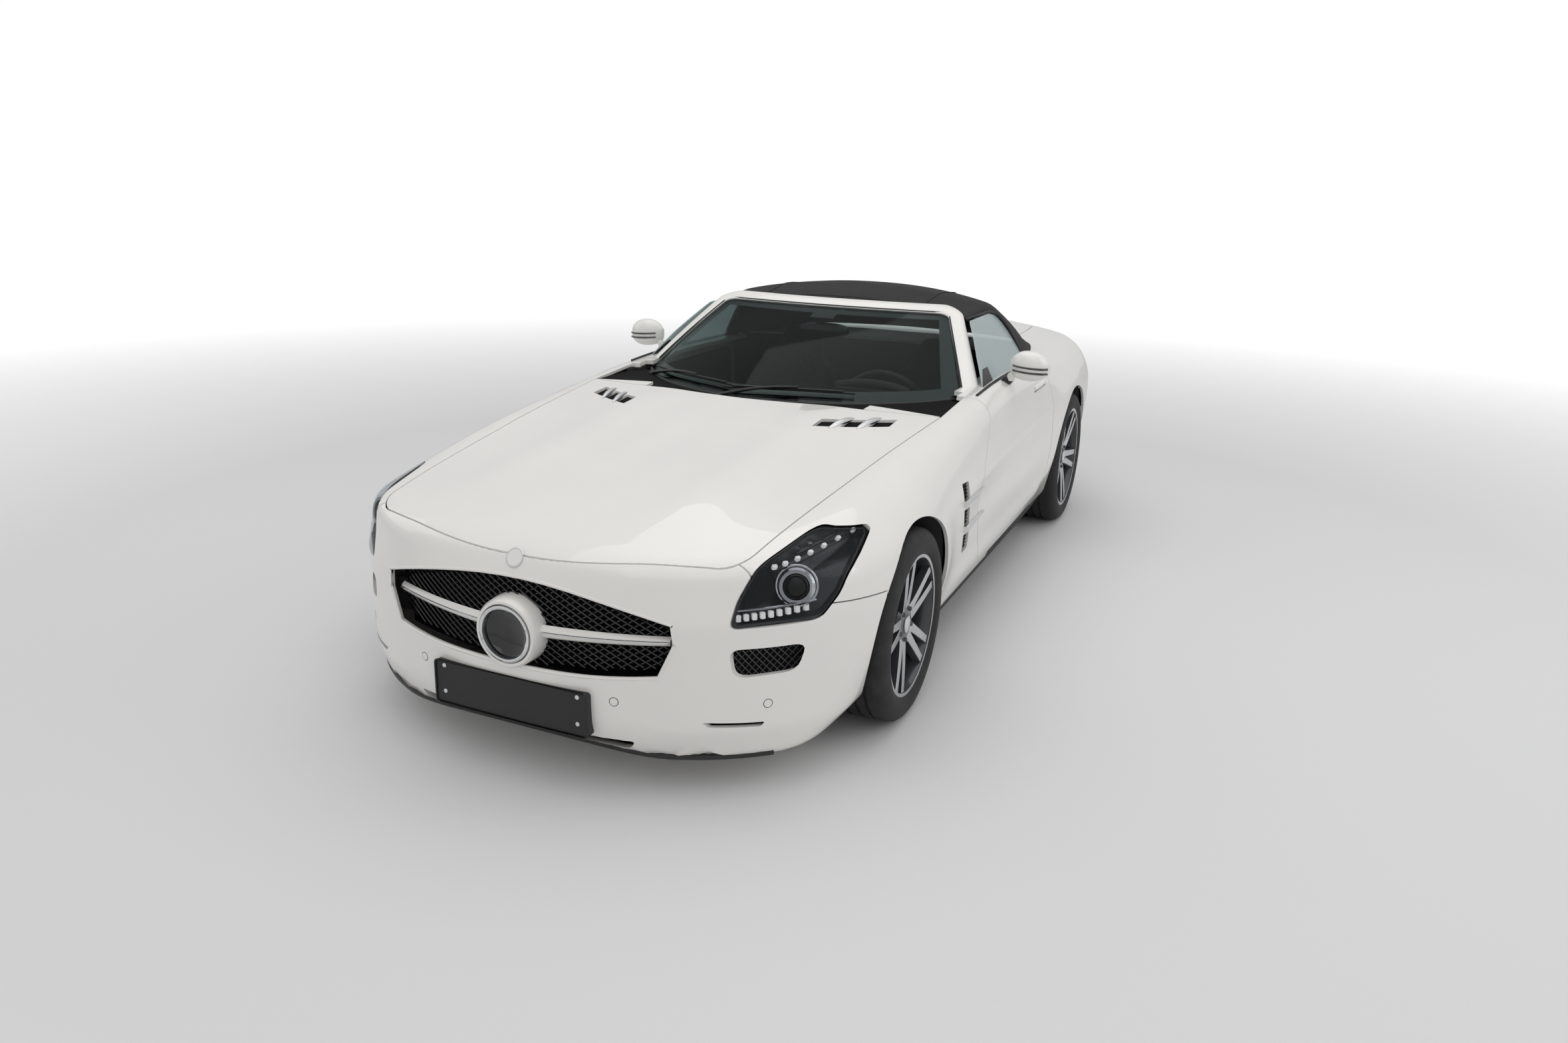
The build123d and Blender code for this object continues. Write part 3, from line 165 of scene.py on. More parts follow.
class Look:
    """A material built from expressions; constants go on the shader's own sockets."""

    def __init__(self, name, colour=(0.5, 0.5, 0.5), roughness=0.5, metallic=0.0, **constants):
        self.material = bpy.data.materials.new(name)
        self.material.use_nodes = True
        self.tree = self.material.node_tree
        self.shader = self.tree.nodes["Principled BSDF"]
        self.set("Base Color", tint(colour))
        self.set("Roughness", roughness)
        self.set("Metallic", metallic)
        for key, value in constants.items():
            self.set(key.replace("_", " ").title().replace("Ior", "IOR"), value)
        self.place = self.node("ShaderNodeTexCoord", {}, {}, "Object")

    def feed(self, slot, value):
        if isinstance(value, Value):
            self.tree.links.new(value.socket, slot)
        else:
            slot.default_value = value

    def set(self, slot, value):
        self.feed(self.shader.inputs[slot], value)

    def node(self, kind, settings, inputs, output=0):
        """Any node: its type, its settings, then its sockets' values or links."""
        node = self.tree.nodes.new(kind)
        for key, value in settings.items():
            setattr(node, key, value)
        for key, value in inputs.items():
            self.feed(node.inputs[key], value)
        return Value(self, node.outputs[output])

    def axes(self):
        """The object's X, Y and Z at this point."""
        node = self.tree.nodes.new("ShaderNodeSeparateXYZ")
        self.feed(node.inputs[0], self.place)
        return [Value(self, out) for out in node.outputs]

    def noise(self, scale, detail=3.0, roughness=0.5):
        return self.node(
            "ShaderNodeTexNoise", {},
            {"Vector": self.place, "Scale": scale, "Detail": detail, "Roughness": roughness}
        )

    def cells(self, scale, output="Distance"):
        return self.node("ShaderNodeTexVoronoi", {}, {"Vector": self.place, "Scale": scale}, output)

    def bump(self, height, strength, distance):
        self.set(
            "Normal",
            self.node("ShaderNodeBump", {}, {"Strength": strength, "Distance": distance, "Height": height})
        )


LOOKS = {}


def plain(name, colour, roughness, metallic=0.0, spread=0.06, grain=0.0, scale=60.0, **constants):
    """Painted, moulded or cast stuff: its tone and gloss wander a little, and it may be grained."""
    look = Look(name, colour, roughness, metallic, **constants)
    drift = look.noise(7.0, 4.0)
    darker = tuple(c * 0.86 for c in colour)
    look.set("Base Color", drift.between(0.3, 0.7).mix(darker, colour))
    look.set("Roughness", roughness + (look.noise(scale) - 0.5) * spread)
    if grain:
        look.bump(look.cells(scale * 12), 0.5, grain)
    LOOKS[name] = look.material
    return look


def make_floor_look():
    """Pale floor that fades to the white background far from the car."""
    floor = Look("Stage floor", (0.70, 0.70, 0.705), 0.9)
    x, y, _ = floor.axes()
    far = ((x ** 2 + y ** 2) ** 0.5).between(3.6, 9.0)
    seen = floor.node("ShaderNodeLightPath", {}, {}, "Is Camera Ray")
    white = floor.node("ShaderNodeEmission", {}, {"Color": (1, 1, 1, 1), "Strength": 1.0})
    out = floor.tree.nodes["Material Output"]
    blend = floor.node(
        "ShaderNodeMixShader", {}, {0: far * seen, 1: Value(floor, floor.shader.outputs[0]), 2: white}
    )
    floor.feed(out.inputs["Surface"], blend)
    LOOKS["Stage floor"] = floor.material


def make_looks(scene):
    """All the materials."""
    body = scene.roadster_body
    wheel = scene.roadster_wheel
    cabin = scene.roadster_cabin
    paint = plain(
        "Pearl paint", tuple(body.paint), 0.32, spread=0.04, coat_weight=1.0, coat_roughness=0.03,
        coat_ior=1.5
    )
    flake = paint.cells(2600.0, "Color")
    pearl = paint.noise(3.0, 2.0).between(0.35, 0.65).mix((0.795, 0.78, 0.75), tuple(body.paint))
    paint.set(
        "Base Color",
        paint.node(
            "ShaderNodeMix", {"data_type": "RGBA", "blend_type": "SOFT_LIGHT"},
            {"Factor": 0.10, 6: pearl, 7: flake}, 2
        )
    )
    plain("Black trim", tuple(body.trim), 0.42, grain=0.0004)
    plain("Gloss black", (0.006, 0.006, 0.007), 0.12, spread=0.05, coat_weight=0.6)
    # near-black with little gloss, darker than the black trim: painted shade in the vents, intakes, slots,
    # grille and air vents, and on the cowl
    plain("Black with painted shade", (0.004, 0.004, 0.004), 0.8, specular_ior_level=0.1)
    plain("Chrome", (0.78, 0.79, 0.80), 0.07, 1.0, spread=0.05)
    plain("Silver fin", (0.80, 0.81, 0.82), 0.30, 1.0)
    plain("Lamp bowl", (0.045, 0.048, 0.052), 0.25, 0.4)
    plain("Lamp silver", (0.55, 0.56, 0.58), 0.16, 1.0)
    plain("Cast metal", (0.16, 0.16, 0.165), 0.55, 0.8, grain=0.0006)
    plain("Underbody", (0.022, 0.022, 0.022), 0.75, grain=0.001)
    plain("Frame primer", (0.05, 0.05, 0.052), 0.5, grain=0.0005)
    plain("Exhaust steel", (0.55, 0.54, 0.52), 0.2, 1.0)
    plain("Cabin plastic", (0.016, 0.016, 0.017), 0.6, grain=0.0006)
    plain("Pocket paint", tuple(wheel.pocket), 0.3, 0.3, coat_weight=0.5)
    plain("Caliper", (0.12, 0.12, 0.125), 0.35, 0.6)
    plain("Rubber seal", (0.006, 0.006, 0.006), 0.55, grain=0.0003)
    make_floor_look()

    face = plain("Machined face", tuple(wheel.face), 0.24, 1.0)
    x, y, z = face.axes()
    ring = ((z ** 2 + y ** 2) ** 0.5 * 2600.0).sin()
    face.bump(ring, 0.12, 0.0003)

    disc = plain("Brake disc", (0.30, 0.30, 0.305), 0.3, 1.0)
    rust = disc.noise(40.0).between(0.55, 0.75)
    disc.set("Base Color", rust.mix((0.30, 0.30, 0.305), (0.14, 0.10, 0.08)))

    rubber = plain("Tyre rubber", (0.016, 0.016, 0.017), 0.72, grain=0.0008)
    dust = rubber.noise(18.0, 6.0).between(0.5, 0.8)
    rubber.set("Base Color", dust.mix((0.013, 0.013, 0.014), (0.030, 0.029, 0.028)))

    fabric = plain("Top fabric", tuple(cabin.fabric), 0.95, sheen_weight=0.04)
    x, y, z = fabric.axes()
    turn = 2 * math.pi / cabin.weave
    warp = (x * turn).sin() * (y * turn).sin() + (z * turn).sin() * 0.5
    fabric.bump(warp, 0.5, 0.0006)
    fabric.set(
        "Base Color",
        fabric.noise(9.0, 5.0).between(0.3, 0.7).mix((0.0085, 0.0085, 0.0095), (0.014, 0.014, 0.0155))
    )

    leather = plain("Seat leather", tuple(cabin.leather), 0.5, grain=0.0006, coat_weight=0.1)
    leather.bump(leather.cells(420.0, "Distance") + leather.noise(60.0) * 0.4, 0.35, 0.0008)

    carpet = plain("Carpet", (0.012, 0.012, 0.012), 0.95, sheen_weight=0.2)
    carpet.bump(carpet.noise(900.0, 2.0), 0.8, 0.002)

    # each glass mixes a see-through layer of its tone with a shiny layer; the shiny layer's colour is near
    # black on the windscreen, lamps and projector, and pale on the side and rear windows, a painted
    # reflection
    for name, tone, painted_reflection, share, rough in (
        ("Windscreen glass", (0.78, 0.84, 0.83), (0.004, 0.005, 0.005), 0.86, 0.02),
        ("Side glass", (0.74, 0.82, 0.82), (0.62, 0.70, 0.71), 0.45, 0.02),
        ("Lamp glass", (0.95, 0.96, 0.97), (0.02, 0.02, 0.02), 0.90, 0.01),
        ("Dark glass", (0.06, 0.065, 0.07), (0.01, 0.01, 0.01), 0.30, 0.03),
    ):
        glass = Look(name, painted_reflection, rough)
        clear = glass.tree.nodes.new("ShaderNodeBsdfTransparent")
        glass.feed(clear.inputs[0], tint(tone))
        amount = share - glass.noise(2.0).between(0.3, 0.7) * 0.03
        mixed = glass.node(
            "ShaderNodeMixShader", {}, {0: amount, 1: Value(glass, glass.shader.outputs[0]),
                                        2: Value(glass, clear.outputs[0])}
        )
        glass.tree.links.new(mixed.socket, glass.tree.nodes["Material Output"].inputs["Surface"])
        LOOKS[name] = glass.material

    red = plain("Red lens", (0.30, 0.004, 0.006), 0.08, coat_weight=1.0)
    red.bump(red.cells(160.0), 0.2, 0.0008)
    for name, tone, power in (
        ("Daylight strip", (1.0, 0.98, 0.95), 1.3), ("Amber block", (0.9, 0.45, 0.12), 0.0)
    ):
        strip = plain(name, tone, 0.3)
        if power:
            strip.set("Emission Color", strip.noise(300.0).between(0.2, 0.8).mix((0.75, 0.78, 0.8), tone))
            strip.set("Emission Strength", power * 0.25)


# ------------------------------------------------------------------ mesh helpers
def make(name, points, faces, body, material, smooth=True, angle=35.0):
    """A mesh object that rides on a body."""
    name = name.replace(" ", "_")
    mesh = bpy.data.meshes.new(name)
    mesh.from_pydata([tuple(map(float, p)) for p in points], [], [tuple(map(int, f)) for f in faces])
    mesh.validate()
    obj = bpy.data.objects.new(name, mesh)
    bpy.context.scene.collection.objects.link(obj)
    mesh.materials.append(LOOKS[material])
    soften(mesh, smooth, angle)
    if body:
        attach(obj, body)
    return obj


def soften(mesh, smooth=True, angle=35.0):
    """Smooth shading, sharp where faces meet at more than an angle."""
    mesh.polygons.foreach_set("use_smooth", [smooth] * len(mesh.polygons))
    if smooth:
        mesh.set_sharp_from_angle(angle=math.radians(angle))


def grid_faces(rows, columns, closed=False):
    """Quads of a grid of points; closed joins the last column to the first."""
    faces = []
    span = columns if closed else columns - 1
    for i in range(rows - 1):
        for j in range(span):
            k = (j + 1) % columns
            faces.append((i * columns + j, i * columns + k, (i + 1) * columns + k, (i + 1) * columns + j))
    return faces


def solid_of(points, faces, thickness, normals):
    """Closed mesh between a surface and its copy moved in by a thickness."""
    count = len(points)
    both = np.vstack([points, points - normals * thickness])
    out = [tuple(f) for f in faces]
    out += [tuple(i + count for i in reversed(f)) for f in faces]
    edges = {}
    for f in faces:
        for a, b in zip(f, f[1:] + f[:1]):
            edges[(a, b)] = True
    for a, b in list(edges):
        if (b, a) not in edges:
            out.append((b, a, a + count, b + count))
    return both, out


def lathe(profile, centre, segments=96, axis="X"):
    """Points and faces of a closed profile of (along, radius) turned about an axis."""
    profile = np.array(profile, float)
    angles = np.linspace(0, 2 * math.pi, segments, endpoint=False)
    along = np.repeat(profile[:, :1], segments, 1)
    up = profile[:, 1:] * np.cos(angles)
    side = profile[:, 1:] * np.sin(angles)
    stack = {"X": (along, side, up), "Y": (side, along, up), "Z": (side, up, along)}[axis]
    points = np.stack(stack, -1).reshape(-1, 3) + np.array(centre)
    return points, grid_faces(len(profile), segments, closed=True)


def tube(path, radius, sides=12, closed=False):
    """Points and faces of a round bar along a path."""
    path = np.array(path, float)
    count = len(path)
    ahead = np.roll(path, -1, 0) - np.roll(path, 1, 0)
    if not closed:
        ahead[0] = path[1] - path[0]
        ahead[-1] = path[-1] - path[-2]
    ahead /= np.linalg.norm(ahead, axis=1, keepdims=True)
    guide = np.array([0, 0, 1.0]) if abs(ahead[0][2]) < 0.9 else np.array([1.0, 0, 0])
    side = np.cross(ahead, guide)
    side /= np.linalg.norm(side, axis=1, keepdims=True)
    up = np.cross(side, ahead)
    angles = np.linspace(0, 2 * math.pi, sides, endpoint=False)
    radius = np.broadcast_to(np.array(radius, float).reshape(-1, 1, 1), (count, 1, 1))
    ring = side[:, None] * np.cos(angles)[None, :, None] + up[:, None] * np.sin(angles)[None, :, None]
    points = (path[:, None] + ring * radius).reshape(-1, 3)
    faces = grid_faces(count, sides, closed=True)
    if closed:
        last = (count - 1) * sides
        faces += [(last + j, last + (j + 1) % sides, (j + 1) % sides, j) for j in range(sides)]
    else:
        faces += [tuple(range(sides - 1, -1, -1)), tuple((count - 1) * sides + j for j in range(sides))]
    return points, faces


def prism(outline, plane, low, high):
    """Closed prism of a 2-D outline along the axis that its plane lacks."""
    outline = list(outline)
    count = len(outline)
    points = []
    for level in (low, high):
        for a, b in outline:
            points.append({"YZ": (level, a, b), "XY": (a, b, level), "XZ": (a, level, b)}[plane])
    faces = [tuple(range(count)), tuple(range(2 * count - 1, count - 1, -1))]
    faces += [(i, i + count, (i + 1) % count + count, (i + 1) % count) for i in range(count)]
    return points, faces


def rounded(outline, radius, steps=5):
    """A closed 2-D outline with its corners rounded."""
    outline = [np.array(p, float) for p in outline]
    out = []
    for i, corner in enumerate(outline):
        before = outline[i - 1] - corner
        after = outline[(i + 1) % len(outline)] - corner
        reach = min(radius, 0.45 * np.linalg.norm(before), 0.45 * np.linalg.norm(after))
        start = corner + before / np.linalg.norm(before) * reach
        end = corner + after / np.linalg.norm(after) * reach
        for t in np.linspace(0, 1, steps):
            out.append(tuple((1 - t) ** 2 * start + 2 * t * (1 - t) * corner + t * t * end))
    return out


def raw(name, points, faces):
    """An unlinked helper solid for cutting, with its faces turned outwards."""
    mesh = bpy.data.meshes.new(name)
    mesh.from_pydata([tuple(map(float, p)) for p in points], [], [tuple(map(int, f)) for f in faces])
    obj = bpy.data.objects.new(name, mesh)
    bpy.context.scene.collection.objects.link(obj)
    work = bmesh.new()
    work.from_mesh(mesh)
    bmesh.ops.recalc_face_normals(work, faces=work.faces)
    work.to_mesh(mesh)
    work.free()
    return obj


def carve(obj, *cuts):
    """Cut an object by (operation, points, faces) solids, one after the other."""
    for operation, points, faces in cuts:
        tool = raw("cutter", points, faces)
        step = obj.modifiers.new("cut", "BOOLEAN")
        step.operation = operation
        step.solver = "EXACT"
        step.object = tool
        done = bpy.data.meshes.new_from_object(
            obj.evaluated_get(bpy.context.evaluated_depsgraph_get()), preserve_all_data_layers=False
        )
        old = obj.data
        obj.modifiers.clear()
        obj.data = done
        bpy.data.meshes.remove(old)
        bpy.data.meshes.remove(tool.data)
    return obj


def other_side(obj, name, body):
    """Mirror image of a piece on the car's right side."""
    name = name.replace(" ", "_")
    mesh = obj.data.copy()
    mesh.name = name
    coords = np.empty(len(mesh.vertices) * 3)
    mesh.vertices.foreach_get("co", coords)
    coords = coords.reshape(-1, 3) * (-1, 1, 1)
    mesh.vertices.foreach_set("co", coords.ravel())
    mesh.flip_normals()
    mesh.update()
    twin = bpy.data.objects.new(name, mesh)
    bpy.context.scene.collection.objects.link(twin)
    if body:
        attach(twin, body)
    return twin


def both_sides(name, points, faces, bodies, material, **how):
    """A piece on the left and its mirror image on the right."""
    left = make(f"{name} left", points, faces, bodies[0], material, **how)
    return left, other_side(left, f"{name} right", bodies[1])


DOORS = ("door_left", "door_right")


# ------------------------------------------------------------------ body surface
NOSE = -2.319
FRONT_AXLE = -1.334
REAR_AXLE = 1.346
FRONT_R = 0.334
REAR_R = 0.3425
FRONT_ARCH = FRONT_R + 0.040
REAR_ARCH = REAR_R + 0.040

# y, sill x, sill z, waist x, waist z, shoulder x, shoulder z, crown z
STATIONS = np.array([
    (-2.400, 0.800, 0.200, 0.900, 0.540, 0.640, 0.668, 0.706),
    (-1.950, 0.880, 0.212, 0.925, 0.560, 0.735, 0.748, 0.790),
    (-1.334, 0.905, 0.222, 0.955, 0.600, 0.812, 0.818, 0.852),
    (-0.600, 0.903, 0.226, 0.945, 0.600, 0.842, 0.888, 0.915),
    (0.000, 0.903, 0.228, 0.938, 0.580, 0.854, 0.926, 0.945),
    (0.700, 0.903, 0.232, 0.942, 0.600, 0.846, 0.922, 0.945),
    (1.346, 0.910, 0.240, 0.955, 0.660, 0.812, 0.910, 0.940),
    (1.850, 0.880, 0.262, 0.940, 0.660, 0.776, 0.896, 0.944),
    (2.400, 0.800, 0.300, 0.880, 0.640, 0.706, 0.882, 0.942),
])


def smooth_table(y, column):
    """A column of the stations at y, through a cubic that doesn't overshoot much."""
    ys, vs = STATIONS[:, 0], STATIONS[:, column]
    slope = np.gradient(vs, ys)
    i = np.clip(np.searchsorted(ys, y) - 1, 0, len(ys) - 2)
    h = ys[i + 1] - ys[i]
    t = np.clip((y - ys[i]) / h, 0, 1)
    return (
        (2 * t**3 - 3 * t**2 + 1) * vs[i] + (t**3 - 2 * t**2 + t) * h * slope[i]
        + (3 * t**2 - 2 * t**3) * vs[i + 1] + (t**3 - t**2) * h * slope[i + 1]
    )


def soft_max(a, b, radius):
    """The larger of two distances, rounded over a radius."""
    blend = np.clip(0.5 + 0.5 * (a - b) / radius, 0, 1)
    return a * blend + b * (1 - blend) + radius * blend * (1 - blend)


def bell(value, centre, width):
    """1 at the centre, falling off over a width."""
    return np.exp(-(((value - centre) / width) ** 2))


def ramp(value, low, high):
    """0 below low, 1 above high, eased between."""
    t = np.clip((value - low) / (high - low), 0, 1)
    return t * t * (3 - 2 * t)


NOSE_Z = (0.09, 0.19, 0.30, 0.50, 0.61, 0.706, 0.77, 0.86, 1.0)
NOSE_BACK = (-2.16, -2.29, -2.319, -2.319, -2.302, -2.258, -2.15, -1.85, -1.2)
TAIL_Z = (0.09, 0.23, 0.43, 0.56, 0.68, 0.80, 0.88, 0.935, 1.0)
TAIL_BACK = (2.08, 2.24, 2.312, 2.319, 2.300, 2.262, 2.258, 2.285, 2.285)


def inside(p):
    """Signed distance to the body's surface, below the windows; negative inside."""
    x, y, z = np.abs(p[..., 0]), p[..., 1], p[..., 2]
    sill_x, sill_z, waist_x, waist_z, shoulder_x, shoulder_z, crown_z = (
        smooth_table(y, k) for k in range(1, 8)
    )
    up = np.clip((z - waist_z) / (shoulder_z - waist_z), 0, 1.25)
    down = np.clip((waist_z - z) / (waist_z - sill_z), 0, 1.6)
    side = waist_x - (waist_x - shoulder_x - 0.022) * up**2.1 - (waist_x - sill_x) * down**2
    side = side - np.clip(sill_z - z, 0, 1) * 0.55
    # flared arch lips
    for axle, wheel_z, arch in ((FRONT_AXLE, FRONT_R, FRONT_ARCH), (REAR_AXLE, REAR_R, REAR_ARCH)):
        reach = np.hypot(y - axle, z - wheel_z)
        side = side + 0.012 * bell(reach, arch, 0.10) * ramp(z, 0.2, 0.45)
    # crease from the side vent to the rear arch, hollow below it
    crease = 0.655 + 0.03 * (y + 0.6)
    along = ramp(y, -0.72, -0.45) * (1 - ramp(y, 0.75, 1.0))
    side = side + along * (0.007 * bell(z, crease, 0.022) - 0.010 * bell(z, crease - 0.11, 0.07))
    side = side + 0.010 * bell(z, 0.30, 0.05) * ramp(y, -0.9, -0.6) * (1 - ramp(y, 0.7, 0.95))
    crown = crown_z - (crown_z - shoulder_z) * (x / shoulder_x) ** 2.4
    # two long swellings along the bonnet, and a crest over each front wheel
    bonnet = ramp(y, -2.15, -1.7) * (1 - ramp(y, -0.9, -0.55))
    crown = crown + bonnet * (0.013 * bell(x, 0.36, 0.12) - 0.004 * bell(x, 0.0, 0.10))
    crown = crown + 0.010 * bell(x, 0.80, 0.08) * bell(y, FRONT_AXLE, 0.45)
    side_gap = (x - side) * 0.97
    top_gap = (z - crown) * 0.98
    floor_gap = 0.120 + 0.10 * ramp(y, 1.7, 2.3) - z
    chin = np.interp(z, (0.08, 0.23, 0.56, 1.1), (0.07, 0.008, 0.0, 0.15))
    ahead = np.clip((-1.30 - y + chin) / 1.019, 0, 2)
    behind = np.clip((y - 1.45 + chin * 0.7) / 0.869, 0, 2)
    front_plan = (x**2.4 + ahead**2.4) ** (1 / 2.4) - 1
    rear_plan = (x**3.1 + behind**3.1) ** (1 / 3.1) - 1
    nose_gap = (np.interp(z, NOSE_Z, NOSE_BACK) - y) * np.interp(z, (0.6, 0.72, 0.85), (1, 0.8, 0.35))
    tail_gap = y - np.interp(z, TAIL_Z, TAIL_BACK)
    gap = soft_max(side_gap, top_gap, 0.055)
    gap = soft_max(gap, np.where(ahead > 0, front_plan, -0.5), 0.045)
    gap = soft_max(gap, np.where(behind > 0, rear_plan * 0.87, -0.5), 0.035)
    gap = soft_max(gap, nose_gap, 0.030)
    gap = soft_max(gap, tail_gap, 0.018)
    return soft_max(gap, floor_gap, 0.030)


def body_grid(step):
    """Left half of the body surface: rows along the car, columns from the floor up to the crown."""
    rows = [((0.0, y, 0.50), 0.0) for y in np.arange(-1.80, 1.90001, step)]
    front = [((0.0, -1.80, 0.50), a) for a in np.linspace(math.pi / 2, 0.0, 64)[:-1] * -1]
    rear = [((0.0, 1.90, 0.50), a) for a in np.linspace(0.0, math.pi / 2, 48)[1:]]
    rows = front + rows + rear
    turn = np.concatenate(
        [np.linspace(-90, -30, 12)[:-1], np.linspace(-30, 66, 74), np.linspace(66, 90, 20)[1:]]
    )
    turn = np.radians(turn)
    centres = np.array([r[0] for r in rows])[:, None, :]
    lean = np.array([r[1] for r in rows])[:, None]
    away = np.stack(
        [np.cos(turn)[None] * np.cos(lean), np.broadcast_to(np.sin(lean), (len(rows), len(turn))),
         np.sin(turn)[None] * np.cos(lean)], -1,
    )
    low = np.zeros((len(rows), len(turn)))
    high = np.full_like(low, 1.6)
    for _ in range(34):
        mid = (low + high) / 2
        out = inside(centres + away * mid[..., None]) > 0
        high = np.where(out, mid, high)
        low = np.where(out, low, mid)
    points = centres + away * mid[..., None]
    return points


def surface_normals(points):
    """Outward unit normals of the body at points near its surface."""
    e = 0.002
    steps = [inside(points + np.eye(3)[k] * e) - inside(points - np.eye(3)[k] * e) for k in range(3)]
    n = np.stack(steps, -1)
    return n / np.maximum(np.linalg.norm(n, axis=-1, keepdims=True), 1e-9)


def skin_of(points, normals, keep, thickness, lift=0.0):
    """Closed slab of the body surface over the quads that keep picks by their middle."""
    rows, columns = points.shape[:2]
    flat = points.reshape(-1, 3)
    norm = normals.reshape(-1, 3)
    faces = np.array(grid_faces(rows, columns))
    middle = flat[faces].mean(1)
    chosen = faces[keep(middle[:, 0], middle[:, 1], middle[:, 2])]
    used, index = np.unique(chosen, return_inverse=True)
    faces = [tuple(f) for f in index.reshape(-1, 4)]
    top = flat[used] + norm[used] * lift
    return solid_of(top, faces, thickness, norm[used])


# ------------------------------------------------------------------ shut lines (as the CAD's)
def arc(a, b, c, steps=14):
    """Points of the circle through three 2-D points."""
    a, b, c = (np.array(q, float) for q in (a, b, c))
    d = 2 * (a[0] * (b[1] - c[1]) + b[0] * (c[1] - a[1]) + c[0] * (a[1] - b[1]))
    if abs(d) < 1e-9:
        return [tuple(a + (c - a) * t) for t in np.linspace(0, 1, steps)]
    sq = [q @ q for q in (a, b, c)]
    centre = np.array([
        (sq[0] * (b[1] - c[1]) + sq[1] * (c[1] - a[1]) + sq[2] * (a[1] - b[1])) / d,
        (sq[0] * (c[0] - b[0]) + sq[1] * (a[0] - c[0]) + sq[2] * (b[0] - a[0])) / d,
    ])
    start, middle, end = (math.atan2(*(q - centre)[::-1]) for q in (a, b, c))
    turn = (end - start) % (2 * math.pi)
    if (middle - start) % (2 * math.pi) > turn:
        turn -= 2 * math.pi
    radius = np.linalg.norm(a - centre)
    return [tuple(centre + radius * np.array([math.cos(start + turn * t), math.sin(start + turn * t)]))
            for t in np.linspace(0, 1, steps)]


HOOD = (
    arc((0, -2.252), (0.320, -2.222), (0.585, -2.128))
    + arc((0.585, -2.128), (0.640, -2.085), (0.668, -2.000))[1:]
    + arc((0.668, -2.000), (0.714, -1.450), (0.782, -0.578))[1:]
    + arc((0.782, -0.578), (0.40, -0.662), (0, -0.690))[1:]
)
DOOR = (
    (-0.235, 1.00), (-0.262, 0.84), (-0.371, 0.756), (-0.480, 0.650), (-0.500, 0.560), (-0.478, 0.450),
    (-0.410, 0.320), (-0.350, 0.246), (0.770, 0.246), (0.850, 0.330), (0.885, 0.560), (0.865, 0.800),
    (0.840, 1.00)
)
LAMP = (
    (0.650, 0.556), (0.846, 0.556), (0.878, 0.620), (0.886, 0.690), (0.866, 0.748), (0.752, 0.776),
    (0.695, 0.724), (0.660, 0.630),
)
MOUTH = (
    arc((-0.505, 0.566), (0, 0.645), (0.505, 0.566)) + [(0.512, 0.505)]
    + arc((0.470, 0.405), (0, 0.378), (-0.470, 0.405)) + [(-0.512, 0.505)]
)
INTAKE = ((0.650, 0.492), (0.822, 0.488), (0.803, 0.405), (0.660, 0.402))
LOWER_SLOT = ((-0.400, 0.186), (0.400, 0.186), (0.370, 0.150), (-0.370, 0.150))
CORNER_SLOT = ((0.585, 0.264), (0.735, 0.254), (0.725, 0.240), (0.600, 0.248))
FENDER_NOSE = (
    (-1.600, 0.561), (-1.642, 0.561), (-1.960, 0.600), (-2.080, 0.700), (-2.080, 1.1), (-1.600, 1.1)
)
TRUNK = ((0, 1.490), (0.540, 1.505), (0.570, 1.560), (0.560, 1.900), (0.520, 2.400), (0, 2.400))
TRUNK_LOW = 0.715
TAIL_LAMP = ((0.455, 0.738), (0.600, 0.712), (0.905, 0.742), (0.915, 0.800), (0.860, 0.826), (0.440, 0.800))
REAR_SEAM = ((1.640, 0.0), (1.640, 0.561), (1.760, 0.591), (2.45, 0.601), (2.45, 0.0))


def grown(outline, amount):
    """A closed 2-D outline moved out by an amount (in, if negative)."""
    pts = np.array(outline, float)
    area = np.sum(pts[:, 0] * np.roll(pts[:, 1], -1) - np.roll(pts[:, 0], -1) * pts[:, 1])
    sign = 1 if area > 0 else -1
    out = []
    for i in range(len(pts)):
        a = pts[i] - pts[i - 1]
        b = pts[(i + 1) % len(pts)] - pts[i]
        na = np.array([a[1], -a[0]]) / max(np.linalg.norm(a), 1e-9) * sign
        nb = np.array([b[1], -b[0]]) / max(np.linalg.norm(b), 1e-9) * sign
        mean = na + nb
        out.append(tuple(pts[i] + mean * amount / max(0.35, (mean @ mean) / 2)))
    return out


def mirrored(outline):
    """A half outline that starts and ends on the middle line, joined to its mirror image."""
    return list(outline) + [(-x, y) for x, y in reversed(outline[1:-1])]


def arch(axle, wheel_z, radius):
    """Cylinder across the left half that opens a wheel arch."""
    ring = [
        (axle + radius * math.cos(a), wheel_z + radius * math.sin(a))
        for a in np.linspace(0, 2 * math.pi, 97)[:-1]
    ]
    return prism(ring, "YZ", 0.45, 1.2)


def box_solid(x, y, z):
    """Box between pairs of limits."""
    return prism([(x[0], y[0]), (x[1], y[0]), (x[1], y[1]), (x[0], y[1])], "XY", z[0], z[1])


